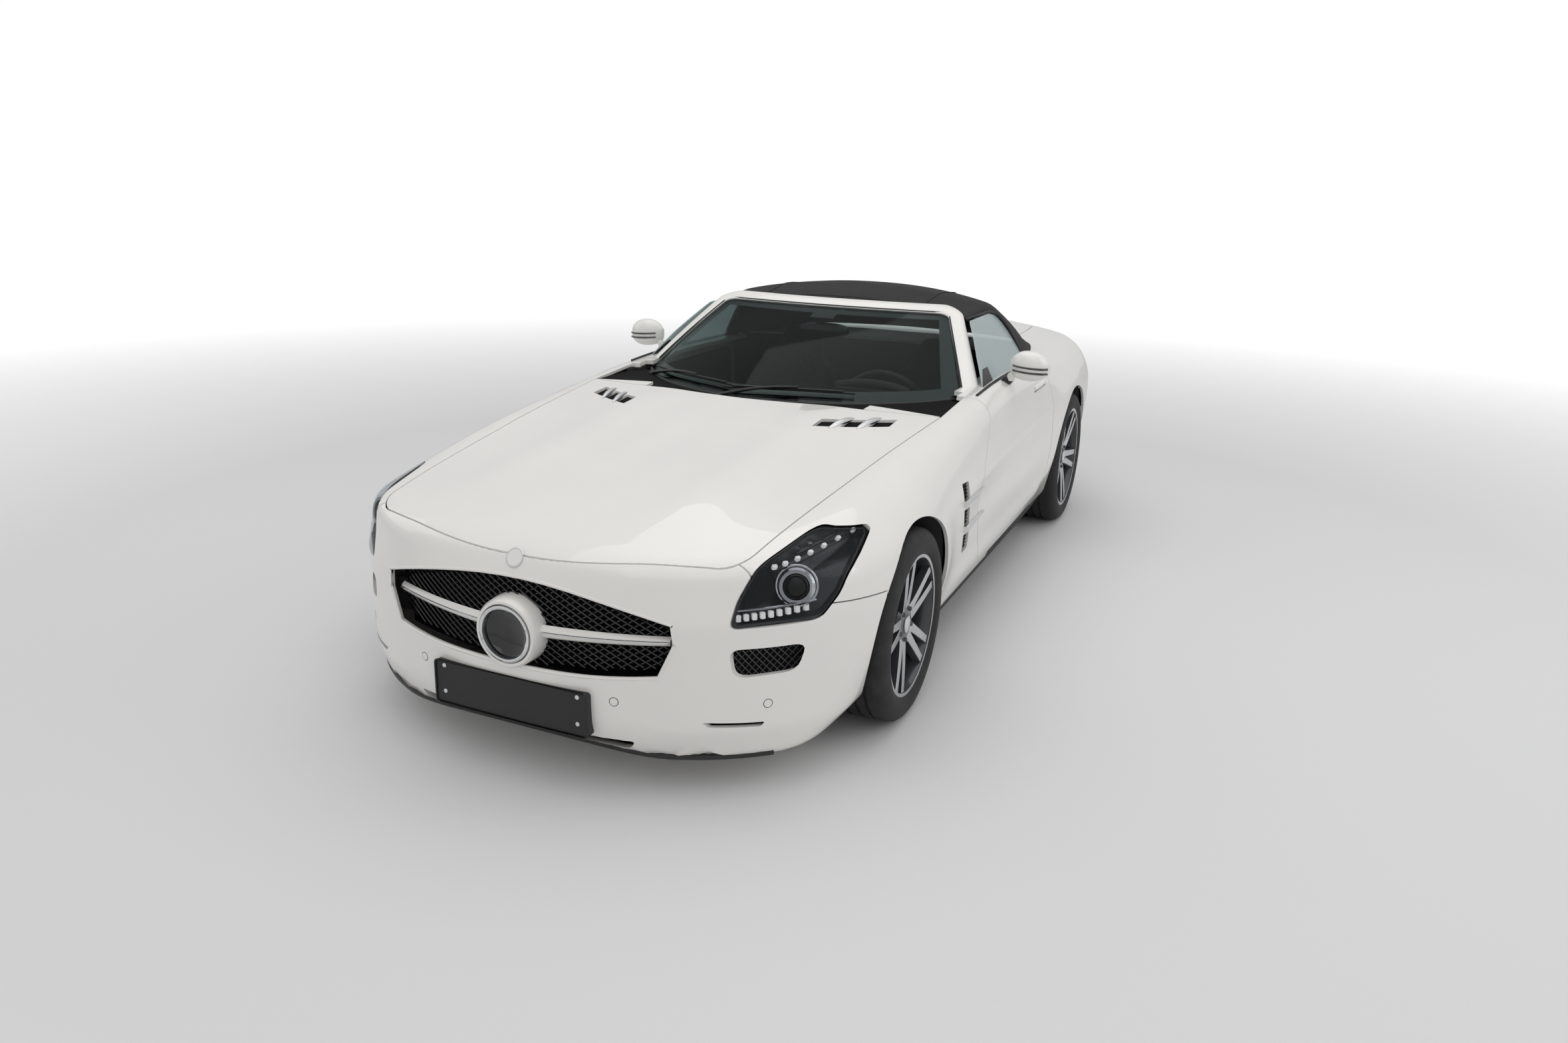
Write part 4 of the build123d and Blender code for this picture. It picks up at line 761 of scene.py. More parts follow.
def cutters(gap):
    """The named cutting solids, with half the shut gap added or taken off."""
    half = gap / 2
    full_hood = mirrored(HOOD)
    return {
        "hood": prism(grown(full_hood, -half), "XY", 0.5, 1.3),
        "hood hole": prism(grown(full_hood, half), "XY", 0.5, 1.3),
        "door": prism(grown(DOOR, -half), "YZ", 0.6, 1.2),
        "door hole": prism(grown(DOOR, half), "YZ", 0.6, 1.2),
        "lamp": prism(grown(rounded(LAMP, 0.02), -half), "XZ", -2.5, -1.60),
        "lamp hole": prism(grown(rounded(LAMP, 0.02), half), "XZ", -2.5, -1.60),
        "tail lamp": prism(grown(rounded(TAIL_LAMP, 0.012), -half / 2), "XZ", 1.96, 2.45),
        "tail lamp hole": prism(grown(rounded(TAIL_LAMP, 0.012), half / 2), "XZ", 1.96, 2.45),
        "trunk": prism(grown(mirrored(TRUNK), -half), "XY", TRUNK_LOW + half, 1.3),
        "trunk hole": prism(grown(mirrored(TRUNK), half), "XY", TRUNK_LOW - half, 1.3),
        "mouth": prism(MOUTH, "XZ", -2.5, -1.9),
        "intake": prism(rounded(INTAKE, 0.03), "XZ", -2.5, -1.75),
        "slot": prism(rounded(LOWER_SLOT, 0.02), "XZ", -2.5, -1.9),
        "corner slot": prism(rounded(CORNER_SLOT, 0.006), "XZ", -2.5, -1.9),
        "front arch": arch(FRONT_AXLE, FRONT_R, FRONT_ARCH),
        "rear arch": arch(REAR_AXLE, REAR_R, REAR_ARCH),
        "fender nose": prism(grown(FENDER_NOSE, half), "YZ", 0.4, 1.2),
        "rear seam": prism(grown(REAR_SEAM, -half), "YZ", -0.01, 1.2),
        "rear seam hole": prism(grown(REAR_SEAM, half), "YZ", -1.2, 1.2),
    }


def seat_on(origin, direction):
    """Where a line from outside meets the body, with the surface normal there."""
    origin = np.array(origin, float)
    direction = np.array(direction, float) / np.linalg.norm(direction)
    steps = np.linspace(0, 3, 3001)
    gaps = inside(origin + steps[:, None] * direction)
    k = int(np.argmax(gaps < 0))
    low, high = steps[max(k - 1, 0)], steps[k]
    for _ in range(30):
        mid = (low + high) / 2
        if inside((origin + mid * direction)[None])[0] < 0:
            high = mid
        else:
            low = mid
    point = origin + low * direction
    return point, surface_normals(point[None])[0]


def from_front(x, z):
    return seat_on((x, -2.6, z), (0, 1, 0))


def from_side(y, z):
    return seat_on((1.3, y, z), (-1, 0, 0))


def from_top(x, y):
    return seat_on((x, y, 1.3), (0, 0, -1))


def frame_on(normal, up=(0, 0, 1)):
    """Side and up directions in the plane that a normal stands on."""
    normal = np.array(normal, float)
    side = np.cross(up, normal)
    side /= np.linalg.norm(side)
    return side, np.cross(normal, side)


def disc_on(name, point, normal, radius, height, body, material, inner=0.0, segments=40):
    """Round button or ring that stands on a surface."""
    side, up = frame_on(normal, (0, 0, 1) if abs(normal[2]) < 0.95 else (0, 1, 0))
    profile = [
        (0, radius), (height * 0.7, radius), (height, radius - height * 0.3), (height, inner), (0, inner)
    ]
    angles = np.linspace(0, 2 * math.pi, segments, endpoint=False)
    rings = []
    for lift, r in profile:
        rings.append(
            point + normal * lift + r * (np.cos(angles)[:, None] * side + np.sin(angles)[:, None] * up)
        )
    points = np.vstack(rings)
    faces = grid_faces(len(profile), segments, closed=True)
    return make(name, points, faces, body, material)


def patch(name, outline, plane_origin, side, up, normal, thickness, body, material):
    """Flat plate of a 2-D outline on a plane."""
    outline = np.array(outline)
    flat = np.array(plane_origin) + outline[:, :1] * side + outline[:, 1:] * up
    points = np.vstack([flat, flat - np.array(normal) * thickness])
    n = len(outline)
    faces = [tuple(range(n)), tuple(range(2 * n - 1, n - 1, -1))]
    faces += [(i, i + n, (i + 1) % n + n, (i + 1) % n) for i in range(n)]
    return make(name, points, faces, body, material)


class Shell:
    """The body surface, worked out once and kept for the panels that are cut from it."""

    points = None
    normals = None


def surface(scene):
    if Shell.points is None:
        half = body_grid(scene.roadster_body.step)
        Shell.points = half
        Shell.normals = surface_normals(half)
    return Shell.points, Shell.normals


def full_surface(scene):
    """Both halves in one grid, for panels that cross the middle."""
    points, normals = surface(scene)
    flip = np.array([-1, 1, 1])
    return (
        np.concatenate([points, (points * flip)[:, ::-1][:, 1:]], 1),
        np.concatenate([normals, (normals * flip)[:, ::-1][:, 1:]], 1),
    )


def panel(scene, name, keep, cuts, body, material="Pearl paint", whole=False, thickness=None, lift=0.0):
    """A body panel: part of the surface as a thick plate, trimmed to its shut lines."""
    points, normals = full_surface(scene) if whole else surface(scene)
    thickness = thickness or scene.roadster_body.panel
    solid, faces = skin_of(points, normals, keep, thickness, lift)
    obj = make(name, solid, faces, None, material)
    tools = cutters(scene.roadster_body.gap)
    carve(obj, *[(kind, *(tools[tool] if isinstance(tool, str) else tool)) for kind, tool in cuts])
    soften(obj.data)
    if body:
        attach(obj, body)
    return obj


CUT = "DIFFERENCE"
TRIM = "INTERSECT"


class Piece(bpy.types.Operator):
    """Base of the roadster's operators."""

    bl_options = {"REGISTER"}

    def execute(self, context):
        self.build(context.scene)
        return {"FINISHED"}


class ROADSTER_OT_hood(Piece):
    """Bonnet with its two louvred vents and the bare round badge seat"""

    bl_idname = "roadster.hood"
    bl_label = "Bonnet"

    def build(self, scene):
        vents = []
        for sign in (1, -1):
            for start in (0.0, 0.36, 0.72):
                corners = []
                for s, t in ((start, -1), (start + 0.28, -1), (start + 0.28, 1), (start, 1)):
                    corners.append((sign * (0.405 + 0.245 * s), -0.918 + 0.165 * s + 0.050 * t))
                vents.append(prism(rounded(corners, 0.006, 3), "XY", 0.7, 1.3))
        cuts = [(TRIM, "hood")] + [(CUT, v) for v in vents]
        hood = panel(
            scene, "Bonnet", lambda x, y, z: (y < -0.50) & (z > 0.64) & (abs(x) < 0.86), cuts, "hood",
            whole=True
        )
        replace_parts(hood, "hood")
        for sign in (1, -1):
            corners = [
                (sign * (0.395 + 0.265 * s), -0.921 + 0.170 * s + 0.056 * t)
                for s, t in ((0, -1), (1, -1), (1.0, 1), (0.0, 1))
            ]
            # near-black floor under each vent: painted shade inside it
            floor = []
            for px, py in corners:
                point, normal = from_top(abs(px), py)
                floor.append((px, py, point[2] - 0.012))
            low = [(a, b, c - 0.012) for a, b, c in floor]
            make(
                "Vent floor", floor + low,
                [(0, 1, 2, 3), (7, 6, 5, 4), (0, 4, 5, 1), (1, 5, 6, 2), (2, 6, 7, 3), (3, 7, 4, 0)], "hood",
                "Black with painted shade"
            )
            for s in (0.32, 0.68):
                line = []
                for t in np.linspace(-1, 1, 12):
                    point, normal = from_top(0.405 + 0.245 * s + 0.018 * t, -0.918 + 0.165 * s + 0.082 * t)
                    line.append((sign * point[0], point[1], point[2] + 0.004 * (1 - t * t)))
                make(
                    "Vent fin", *tube(line, 0.0035 + 0.0085 * (1 - np.linspace(-1, 1, 12) ** 2), 10), "hood",
                    "Silver fin"
                )
        point, normal = from_front(0.0, 0.697)
        disc_on("Badge ring", point, normal, 0.030, 0.0025, "hood", "Chrome")
        disc_on("Badge seat", point + normal * 0.0012, normal, 0.0255, 0.0022, "hood", "Pearl paint")


# middles of the side vents and of the fins between them: y, z
SIDE_VENTS = ((-0.742, 0.655), (-0.712, 0.548), (-0.682, 0.441))
SIDE_FINS = ((-0.722, 0.603), (-0.690, 0.495))


class ROADSTER_OT_fenders(Piece):
    """Front wings with their side vents"""

    bl_idname = "roadster.fenders"
    bl_label = "Front wings"

    def build(self, scene):
        openings = []
        for y, z in SIDE_VENTS:
            corners = [
                (y - 0.046, z + 0.042), (y + 0.044, z + 0.034), (y + 0.058, z - 0.038), (y - 0.022, z - 0.038)
            ]
            openings.append(prism(rounded(corners, 0.008, 3), "YZ", 0.7, 1.2))
        cuts = [
            (CUT, "hood hole"), (CUT, "lamp hole"), (CUT, "door hole"), (CUT, "front arch"),
            (
                TRIM,
                prism(
                    [(-2.4, 0.563), (-1.644, 0.563), (-1.640, 0.2), (-0.1, 0.2), (-0.1, 1.2), (-2.4, 1.2)],
                    "YZ", 0.3, 1.2
                )
            ),
            (
                CUT,
                prism(
                    [
                        (-2.4, 0.2), (-1.60, 0.2), (-1.642, 0.563), (-1.960, 0.602), (-2.078, 0.702),
                        (-2.078, 1.2), (-2.4, 1.2)
                    ],
                    "YZ", 0.3, 1.2
                )
            ),
            (CUT, box_solid((-0.1, 0.7842), (-0.577, 0.1), (0.7, 1.3)))
        ] + [(CUT, o) for o in openings]
        fender = panel(
            scene, "Front wing left", lambda x, y, z: (y > -2.16) & (y < -0.16) & (z > 0.17) & (x > 0.5),
            cuts, "body"
        )
        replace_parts(fender, "fender_left")
        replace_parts(other_side(fender, "Front wing right", "body"), "fender_right")
        for y, z in SIDE_VENTS:
            point, normal = from_side(y, z)
            side, up = frame_on(normal)
            corners = [(-0.072, -0.05), (0.072, -0.05), (0.072, 0.05), (-0.072, 0.05)]
            # near-black plate behind each vent: painted shade inside it
            back = patch(
                "Side vent back left", corners, point - normal * 0.013, side, up, normal, 0.004, "body",
                "Black with painted shade"
            )
            other_side(back, "Side vent back right", "body")
            for k in range(5):
                line = [point - normal * 0.009 + side * s + up * (k - 2) * 0.014 for s in (-0.056, 0.056)]
                bar = make("Side vent mesh left", *tube(line, 0.0016, 6), "body", "Black trim")
                other_side(bar, "Side vent mesh right", "body")
        for y, z in SIDE_FINS:
            line = []
            for s in np.linspace(0, 1, 14):
                point, normal = from_side(y - 0.045 + s * 0.33, z + 0.012 - s * 0.010)
                line.append(point + normal * 0.004)
            fin = make(
                "Side vent fin left", *tube(line, np.linspace(0.013, 0.0035, 14), 12), "body", "Silver fin"
            )
            other_side(fin, "Side vent fin right", "body")


# half width of the plate holder, and z of its lower and upper edges
PLATE_X = 0.277
PLATE_Z = (0.197, 0.338)


class ROADSTER_OT_front_bumper(Piece):
    """Front bumper with mouth, side intakes, lower slots, sensors and the bare plate holder"""

    bl_idname = "roadster.front_bumper"
    bl_label = "Front bumper"

    def build(self, scene):
        cuts = [
            (CUT, "hood hole"), (CUT, "lamp hole"), (CUT, "front arch"), (CUT, "fender nose"), (CUT, "mouth"),
            (CUT, "intake"), (CUT, "slot"), (CUT, "corner slot"),
            (TRIM, box_solid((0.0, 1.2), (-2.6, -1.6445), (0.0, 1.2)))
        ]
        left = panel(
            scene, "Front bumper", lambda x, y, z: (y < -1.60) & (z < 0.80), cuts, "body", thickness=0.016
        )
        right = other_side(left, "Front bumper other half", "body")
        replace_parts(left, "front_bumper")
        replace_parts(right, "front_bumper")
        # rolled edge round the mouth
        rim = []
        for x, z in grown(MOUTH, 0.002):
            point, _ = from_front(abs(x), z)
            rim.append((x, point[1] + 0.004, z))
        make("Mouth edge", *tube(rim, 0.006, 8, closed=True), "body", "Pearl paint")
        edge = []
        for x in np.linspace(-0.74, 0.74, 41):
            point, _ = from_front(abs(x), 0.136)
            edge.append((x, point[1] + 0.006, 0.132))
        make("Splitter edge", *tube(edge, 0.010, 8), "body", "Black trim")
        for x, z in ((0.741, 0.312), (0.346, 0.318)):
            point, normal = from_front(x, z)
            left = disc_on(
                "Sensor left", point - normal * 0.001, normal, 0.0125, 0.002, "body", "Pearl paint"
            )
            ring = disc_on(
                "Sensor ring left", point - normal * 0.002, normal, 0.0150, 0.0022, "body", "Black trim"
            )
            other_side(left, "Sensor right", "body")
            other_side(ring, "Sensor ring right", "body")
        # near-black plates behind the side intakes and the slots, painted shade inside them, and mesh behind
        # the intakes
        for name, (x0, x1), (z0, z1), depth in (
            ("Intake", (0.635, 0.835), (0.392, 0.502), 0.030),
            ("Lower slot", (0.0, 0.41), (0.140, 0.196), 0.035),
            ("Corner slot", (0.575, 0.74), (0.232, 0.272), 0.022)
        ):
            cols = np.linspace(x0, x1, 12)
            back = []
            for z in (z0, z1):
                for x in cols:
                    point, _ = from_front(x, z)
                    back.append((x, point[1] + depth, z))
            n = len(cols)
            sheet = back + [(a, b + 0.004, c) for a, b, c in back]
            faces = [(i, i + 1, i + 1 + n, i + n) for i in range(n - 1)]
            faces += [tuple(j + 2 * n for j in reversed(f)) for f in faces]
            plate = make(f"{name} back left", sheet, faces, "body", "Black with painted shade")
            other_side(plate, f"{name} back right", "body")
            if name == "Intake":
                for lean in (1, -1):
                    for k in np.arange(-0.12, 0.34, 0.016):
                        line = []
                        for t in np.linspace(0, 1, 9):
                            x = x0 + k + t * 0.075
                            z = z0 + (t if lean > 0 else 1 - t) * (z1 - z0)
                            if x0 <= x <= x1:
                                point, _ = from_front(x, z)
                                line.append((x, point[1] + depth - 0.006, z))
                        if len(line) > 2:
                            bar = make("Intake mesh left", *tube(line, 0.0016, 5), "body", "Gloss black")
                            other_side(bar, "Intake mesh right", "body")
        # bare plate holder with four screws
        low, high = PLATE_Z
        outline = rounded([(-PLATE_X, low), (PLATE_X, low), (PLATE_X, high), (-PLATE_X, high)], 0.012)
        reach = min(
            from_front(x, z)[0][1] for x in (0.0, 0.09, 0.18, 0.27) for z in (0.20, 0.24, 0.27, 0.30, 0.335)
        ) - 0.004
        face = [(x, reach, z) for x, z in outline]
        rear = [(x, reach + 0.034, z) for x, z in outline]
        n = len(face)
        faces = [tuple(range(n)), tuple(range(2 * n - 1, n - 1, -1))] + [
            (i, (i + 1) % n, (i + 1) % n + n, i + n) for i in range(n)
        ]
        make("Plate holder", face + rear, faces, "body", "Black trim")
        lip = [(x, reach - 0.002, z) for x, z in outline]
        make("Plate holder lip", *tube(lip, 0.0035, 6, closed=True), "body", "Black trim")
        for x in (-0.242, 0.242):
            for z in (0.237, 0.323):
                disc_on(
                    "Screw", np.array((x, reach, z)), np.array((0, -1.0, 0)), 0.007, 0.002, "body",
                    "Silver fin", segments=16
                )


class ROADSTER_OT_grille(Piece):
    """Diamond mesh grille with its wing bar and the round boss"""

    bl_idname = "roadster.grille"
    bl_label = "Grille"

    def build(self, scene):
        def depth(x):
            return NOSE + 0.052 + 0.40 * x * x

        top = lambda x: 0.645 - 0.079 * (x / 0.505) ** 2
        bottom = lambda x: 0.378 + 0.027 * (x / 0.470) ** 2
        columns = np.linspace(-0.508, 0.508, 40)
        # near-black sheet behind the mesh: painted shade inside the mouth
        back = [(x, depth(x) + 0.030, z) for z in (0.36, 0.66) for x in columns]
        n = len(columns)
        faces = [(i, i + 1, i + 1 + n, i + n) for i in range(n - 1)]
        sheet = back + [(a, b + 0.004, c) for a, b, c in back]
        faces += [tuple(j + 2 * n for j in reversed(f)) for f in faces]
        backing = make("Grille backing", sheet, faces, "body", "Black with painted shade")
        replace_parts(backing, "grille")
        pitch, rise = 0.034, 0.62
        points, faces = [], []
        for lean in (1, -1):
            for start in np.arange(-0.95, 0.95, pitch):
                line = []
                for z in np.linspace(0.37, 0.65, 30):
                    x = start + lean * (z - 0.51) / rise
                    if abs(x) < 0.507 and bottom(x) < z < top(x):
                        line.append((x, depth(x) + 0.003 * lean, z))
                if len(line) > 2:
                    p, f = tube(line, 0.0030, 6)
                    faces += [tuple(i + len(points) for i in face) for face in f]
                    points += [tuple(q) for q in p]
        make("Grille mesh", points, faces, "body", "Gloss black")
        # wing bar, thicker at the boss
        for sign in (1, -1):
            rows = []
            for x in np.linspace(0.075, 0.490, 22):
                t = (x - 0.075) / 0.415
                half = 0.021 - 0.006 * t
                z = 0.492 + 0.010 * t
                y = depth(x) - 0.018
                section = [
                    (y, z + half), (y - 0.012, z + half * 0.55), (y - 0.016, z), (y - 0.012, z - half * 0.6),
                    (y, z - half), (y + 0.018, z)
                ]
                rows.append([(sign * x, a, b) for a, b in section])
            pts = np.array(rows)
            if sign < 0:
                pts = pts[::-1]
            count, k = pts.shape[:2]
            f = grid_faces(count, k, closed=True) + [
                tuple(range(k)), tuple(range(count * k - 1, (count - 1) * k - 1, -1))
            ]
            wing = make(
                "Wing bar", pts.reshape(-1, 3), [tuple(reversed(q)) for q in f], "body", "Pearl paint",
                angle=50
            )
            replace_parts(wing, "grille_bar")
            line = [
                (sign * x, depth(x) - 0.034, 0.4925 + 0.010 * (x - 0.075) / 0.415)
                for x in np.linspace(0.10, 0.488, 20)
            ]
            make("Wing bar strip", *tube(line, 0.0035, 8), "body", "Chrome")
        centre = (0.0, NOSE + 0.006, 0.478)
        collar = [(0.05, 0.112), (0.0, 0.108), (-0.012, 0.101), (-0.012, 0.093), (0.0, 0.090), (0.05, 0.090)]
        make("Boss collar", *lathe(collar, centre, 96, "Y"), "body", "Pearl paint")
        chrome = [
            (0.0, 0.0905), (-0.016, 0.0885), (-0.019, 0.0835), (-0.016, 0.0785), (0.002, 0.0765),
            (0.010, 0.0765), (0.010, 0.0905)
        ]
        make("Boss ring", *lathe(chrome, centre, 96, "Y"), "body", "Chrome")
        dish = [
            (0.030, 0.0770), (0.002, 0.0770), (0.010, 0.070), (0.020, 0.040), (0.024, 0.0005), (0.030, 0.0005)
        ]
        make("Boss dish", *lathe(dish, centre, 96, "Y"), "body", "Gloss black")


# the projector's place on the lamp as seen from the front: x, z
PROJECTOR_AT = (0.786, 0.655)
# rows of light blocks: name, first block's x and z, step in x and z, count, depth, half width and height,
# look
LIGHT_ROWS = (
    ("Upper block", (0.742, 0.757), (0.018, 0.0045), 6, 0.026, (0.0080, 0.0065), "Lamp silver"),
    ("Middle block", (0.728, 0.733), (0.018, 0.0045), 7, 0.026, (0.0080, 0.0055), "Daylight strip"),
    ("Lower block", (0.675, 0.580), (0.019, 0.001), 9, 0.028, (0.0070, 0.010), "Daylight strip"),
)
# rings of the projector: name, radius, height, inner radius, look, distance in front of its base
PROJECTOR_RINGS = (
    ("Projector ring", 0.056, 0.020, 0.040, "Lamp silver", 0.012),
    ("Projector collar", 0.043, 0.034, 0.034, "Gloss black", 0.0),
    ("Projector outer ring", 0.064, 0.006, 0.058, "Chrome", 0.004),
)


class ROADSTER_OT_headlamps(Piece):
    """Head lamps: bowl, projector, strips and clear cover"""

    bl_idname = "roadster.headlamps"
    bl_label = "Head lamps"

    def build(self, scene):
        area = lambda x, y, z: (y < -1.55) & (z > 0.50) & (z < 0.84) & (x > 0.55)
        aim = np.array((0.30, -0.93, 0.20))
        aim /= np.linalg.norm(aim)
        edge = np.array([from_front(x, z)[0] for x, z in grown(rounded(LAMP, 0.02), -0.004)])
        centre = edge.mean(0)
        rings = [
            centre + (edge - centre) * share - aim * depth
            for depth, share in ((0.004, 1.0), (0.045, 0.97), (0.066, 0.90), (0.074, 0.60), (0.078, 0.05))
        ]
        count = len(edge)
        faces = grid_faces(5, count, closed=True) + [tuple(range(4 * count, 5 * count))]
        bowl = make("Lamp bowl left", np.vstack(rings), faces, "body", "Lamp bowl")
        thick = bowl.modifiers.new("wall", "SOLIDIFY")
        thick.thickness = 0.002
        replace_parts(bowl, "headlamp_left")
        right = other_side(bowl, "Lamp bowl right", "body")
        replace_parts(right, "headlamp_right")
        glass = panel(scene, "Lamp cover left", area, [(TRIM, "lamp")], "body", "Lamp glass", thickness=0.003)
        other_side(glass, "Lamp cover right", "body")
        base = from_front(*PROJECTOR_AT)[0] - aim * 0.062
        for name, radius, height, inner, look, lift in PROJECTOR_RINGS:
            ring = disc_on(f"{name} left", base + aim * lift, aim, radius, height, "body", look, inner)
            other_side(ring, f"{name} right", "body")
        side, up = frame_on(aim)
        pts = []
        for a in np.linspace(0, math.pi / 2, 12):
            for b in np.linspace(0, 2 * math.pi, 32, endpoint=False):
                r = 0.034 * math.cos(a)
                pts.append(
                    base + aim * (0.022 + 0.018 * math.sin(a)) + side * r * math.cos(b) + up * r * math.sin(b)
                )
        lens = make("Projector lens left", pts, grid_faces(12, 32, closed=True), "body", "Dark glass")
        other_side(lens, "Projector lens right", "body")
        # rows of light blocks: along the top edge and along the bottom
        for name, first, step, number, depth, size, look in LIGHT_ROWS:
            spots = [(first[0] + step[0] * k, first[1] + step[1] * k) for k in range(number)]
            for x, z in spots:
                point, normal = from_front(x, z)
                side, up = frame_on(normal)
                w, h = size
                corners = rounded([(-w, -h), (w, -h), (w, h), (-w, h)], 0.003, 3)
                block = patch(
                    f"{name} left", corners, point - normal * depth, side, up, normal, 0.012, "body", look
                )
                other_side(block, f"{name} right", "body")
            line = []
            for x, z in spots:
                point, normal = from_front(x, z)
                line.append(point - normal * (depth + 0.018))
            rail = make(f"{name} carrier left", *tube(line, 0.0075, 8), "body", "Lamp bowl")
            other_side(rail, f"{name} carrier right", "body")
        line = []
        for x in np.linspace(0.668, 0.842, 16):
            point, normal = from_front(x, 0.602 + 0.02 * (x - 0.668))
            line.append(point - normal * 0.024)
        shelf = make("Lamp shelf left", *tube(line, 0.0045, 8), "body", "Lamp silver")
        other_side(shelf, "Lamp shelf right", "body")


class ROADSTER_OT_doors(Piece):
    """Door skins, inner cards and handles"""

    bl_idname = "roadster.doors"
    bl_label = "Doors"

    def build(self, scene):
        area = lambda x, y, z: (y > -0.56) & (y < 0.95) & (z > 0.18) & (x > 0.74)
        skin = panel(scene, "Door left", area, [(TRIM, "door")], "door_left", thickness=0.018)
        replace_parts(skin, "door_left")
        right = other_side(skin, "Door right", "door_right")
        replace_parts(right, "door_right")
        shell = rounded(
            [
                (-0.405, 0.33), (-0.345, 0.262), (0.765, 0.262), (0.835, 0.34), (0.862, 0.56), (0.845, 0.80),
                (0.828, 0.905), (-0.218, 0.905), (-0.262, 0.80), (-0.400, 0.62)
            ],
            0.04
        )
        both_sides(
            "Door shell", *prism(shell, "YZ", 0.792, 0.880 - 0.045), DOORS, "Pearl paint", smooth=False
        )
        # inner card with armrest
        card = rounded(
            [(-0.36, 0.36), (0.74, 0.36), (0.80, 0.60), (0.78, 0.87), (-0.22, 0.87), (-0.36, 0.62)], 0.05
        )
        pts, faces = prism(card, "YZ", 0.786, 0.7935)
        both_sides("Door card", pts, faces, DOORS, "Cabin plastic")
        arm = []
        for y, w in ((-0.10, 0.006), (0.05, 0.030), (0.30, 0.036), (0.52, 0.030), (0.60, 0.006)):
            arm.append((0.784 - w * 0.4, y, 0.66 + 0.02 * (0.3 - y)))
        both_sides("Armrest", *tube(arm, [0.012, 0.026, 0.030, 0.026, 0.010], 14), DOORS, "Seat leather")
        # flush handle in its recess
        line = []
        for y in np.linspace(0.545, 0.765, 16):
            point, normal = from_side(y, 0.835)
            bulge = 0.004 * math.sin((y - 0.545) / 0.22 * math.pi) ** 0.5
            line.append(point + normal * (bulge - 0.004))
        both_sides("Door handle", *tube(line, 0.0125, 12), DOORS, "Pearl paint")
        shade = []
        for y in np.linspace(0.538, 0.772, 16):
            point, normal = from_side(y, 0.822)
            shade.append(point - normal * 0.0005)
        both_sides("Handle shadow", *tube(shade, 0.0028, 6), DOORS, "Black trim")
        belt = []
        for y in np.linspace(-0.20, 0.98, 40):
            point, normal = from_top(0.822, y)
            belt.append(point + normal * 0.001)
        both_sides("Belt seal", *tube(belt[:36], 0.006, 8), DOORS, "Rubber seal")


class ROADSTER_OT_rear(Piece):
    """Rear quarters, deck, boot lid, rear bumper and tail lamps"""

    bl_idname = "roadster.rear"
    bl_label = "Rear body"

    def build(self, scene):
        deck = prism(
            mirrored([(0, 0.9945), (0.70, 0.9945), (0.70, 1.42), (0.56, 1.4845), (0, 1.4845)]), "XY", 0.7, 1.3
        )
        cabin = box_solid((-0.9, 0.784), (0.2, 0.99), (0.82, 1.3))
        quarter = panel(
            scene, "Rear quarter left", lambda x, y, z: (y > 0.62) & (z > 0.17),
            [
                (CUT, "door hole"), (CUT, "trunk hole"), (CUT, deck), (CUT, cabin), (CUT, "tail lamp hole"),
                (CUT, "rear arch"), (CUT, "rear seam hole"),
                (TRIM, box_solid((0.0005, 1.2), (0.70, 2.5), (0.1, 1.3)))
            ],
            "body"
        )
        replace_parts(quarter, "quarter_left")
        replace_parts(other_side(quarter, "Rear quarter right", "body"), "quarter_right")
        whole = panel(
            scene, "Rear deck", lambda x, y, z: (y > 0.90) & (y < 1.60) & (z > 0.80), [(TRIM, deck)], "body",
            whole=True
        )
        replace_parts(whole, "rear_deck")
        lid = panel(
            scene, "Boot lid", lambda x, y, z: (y > 1.40) & (z > 0.62) & (abs(x) < 0.70), [(TRIM, "trunk")],
            "trunk_lid", whole=True
        )
        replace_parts(lid, "trunk_lid")
        spoiler = []
        for x in np.linspace(-0.50, 0.50, 30):
            point, normal = from_top(abs(x), 2.235 - 0.05 * x * x)
            spoiler.append((x, point[1], point[2] + 0.002))
        make("Boot lid lip", *tube(spoiler, 0.009, 10), "trunk_lid", "Pearl paint")
        pipes = prism(
            rounded([(0.365, 0.248), (0.365, 0.325), (0.625, 0.325), (0.625, 0.248)], 0.024), "XZ", 2.0, 2.5
        )
        bumper = panel(
            scene, "Rear bumper left", lambda x, y, z: (y > 1.58) & (z < 0.76),
            [
                (TRIM, "rear seam"), (CUT, "trunk hole"), (CUT, "tail lamp hole"), (CUT, "rear arch"),
                (CUT, pipes)
            ],
            "body", thickness=0.016
        )
        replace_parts(bumper, "rear_bumper")
        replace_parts(other_side(bumper, "Rear bumper right", "body"), "rear_bumper")
        lamp = panel(
            scene, "Tail lamp left", lambda x, y, z: (y > 1.94) & (z > 0.66) & (z < 0.88) & (x > 0.38),
            [(TRIM, "tail lamp")], "body", "Red lens", thickness=0.045
        )
        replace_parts(lamp, "tail_lamp_left")
        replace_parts(other_side(lamp, "Tail lamp right", "body"), "tail_lamp_right")


# lower and upper corners of the windscreen, and y of its lower and upper edges on the middle line
SCREEN_LOW = (0.750, -0.134, 0.8925)
SCREEN_HIGH = (0.551, 0.273, 1.188)
SCREEN_MIDDLE = (-0.614, 0.225)
SCREEN_WRAP = 0.845


def screen_point(s, t):
    """Windscreen's outer face: s from -1 to 1 across, t from 0 at the cowl to 1 at the header."""
    low, high = SCREEN_LOW, SCREEN_HIGH
    low_mid, high_mid = SCREEN_MIDDLE
    x = s * (low[0] + (high[0] - low[0]) * t)
    sag = (1 - math.sqrt(max(0.0, 1 - (SCREEN_WRAP * s) ** 2))) / (1 - math.sqrt(1 - SCREEN_WRAP**2))
    y0 = low_mid + (low[1] - low_mid) * sag
    y1 = high_mid + (high[1] - high_mid) * s * s
    bulge = 0.010 * 4 * t * (1 - t)
    return np.array((x, y0 + (y1 - y0) * t - bulge * 0.55, low[2] + (high[2] - low[2]) * t + bulge * 0.8))


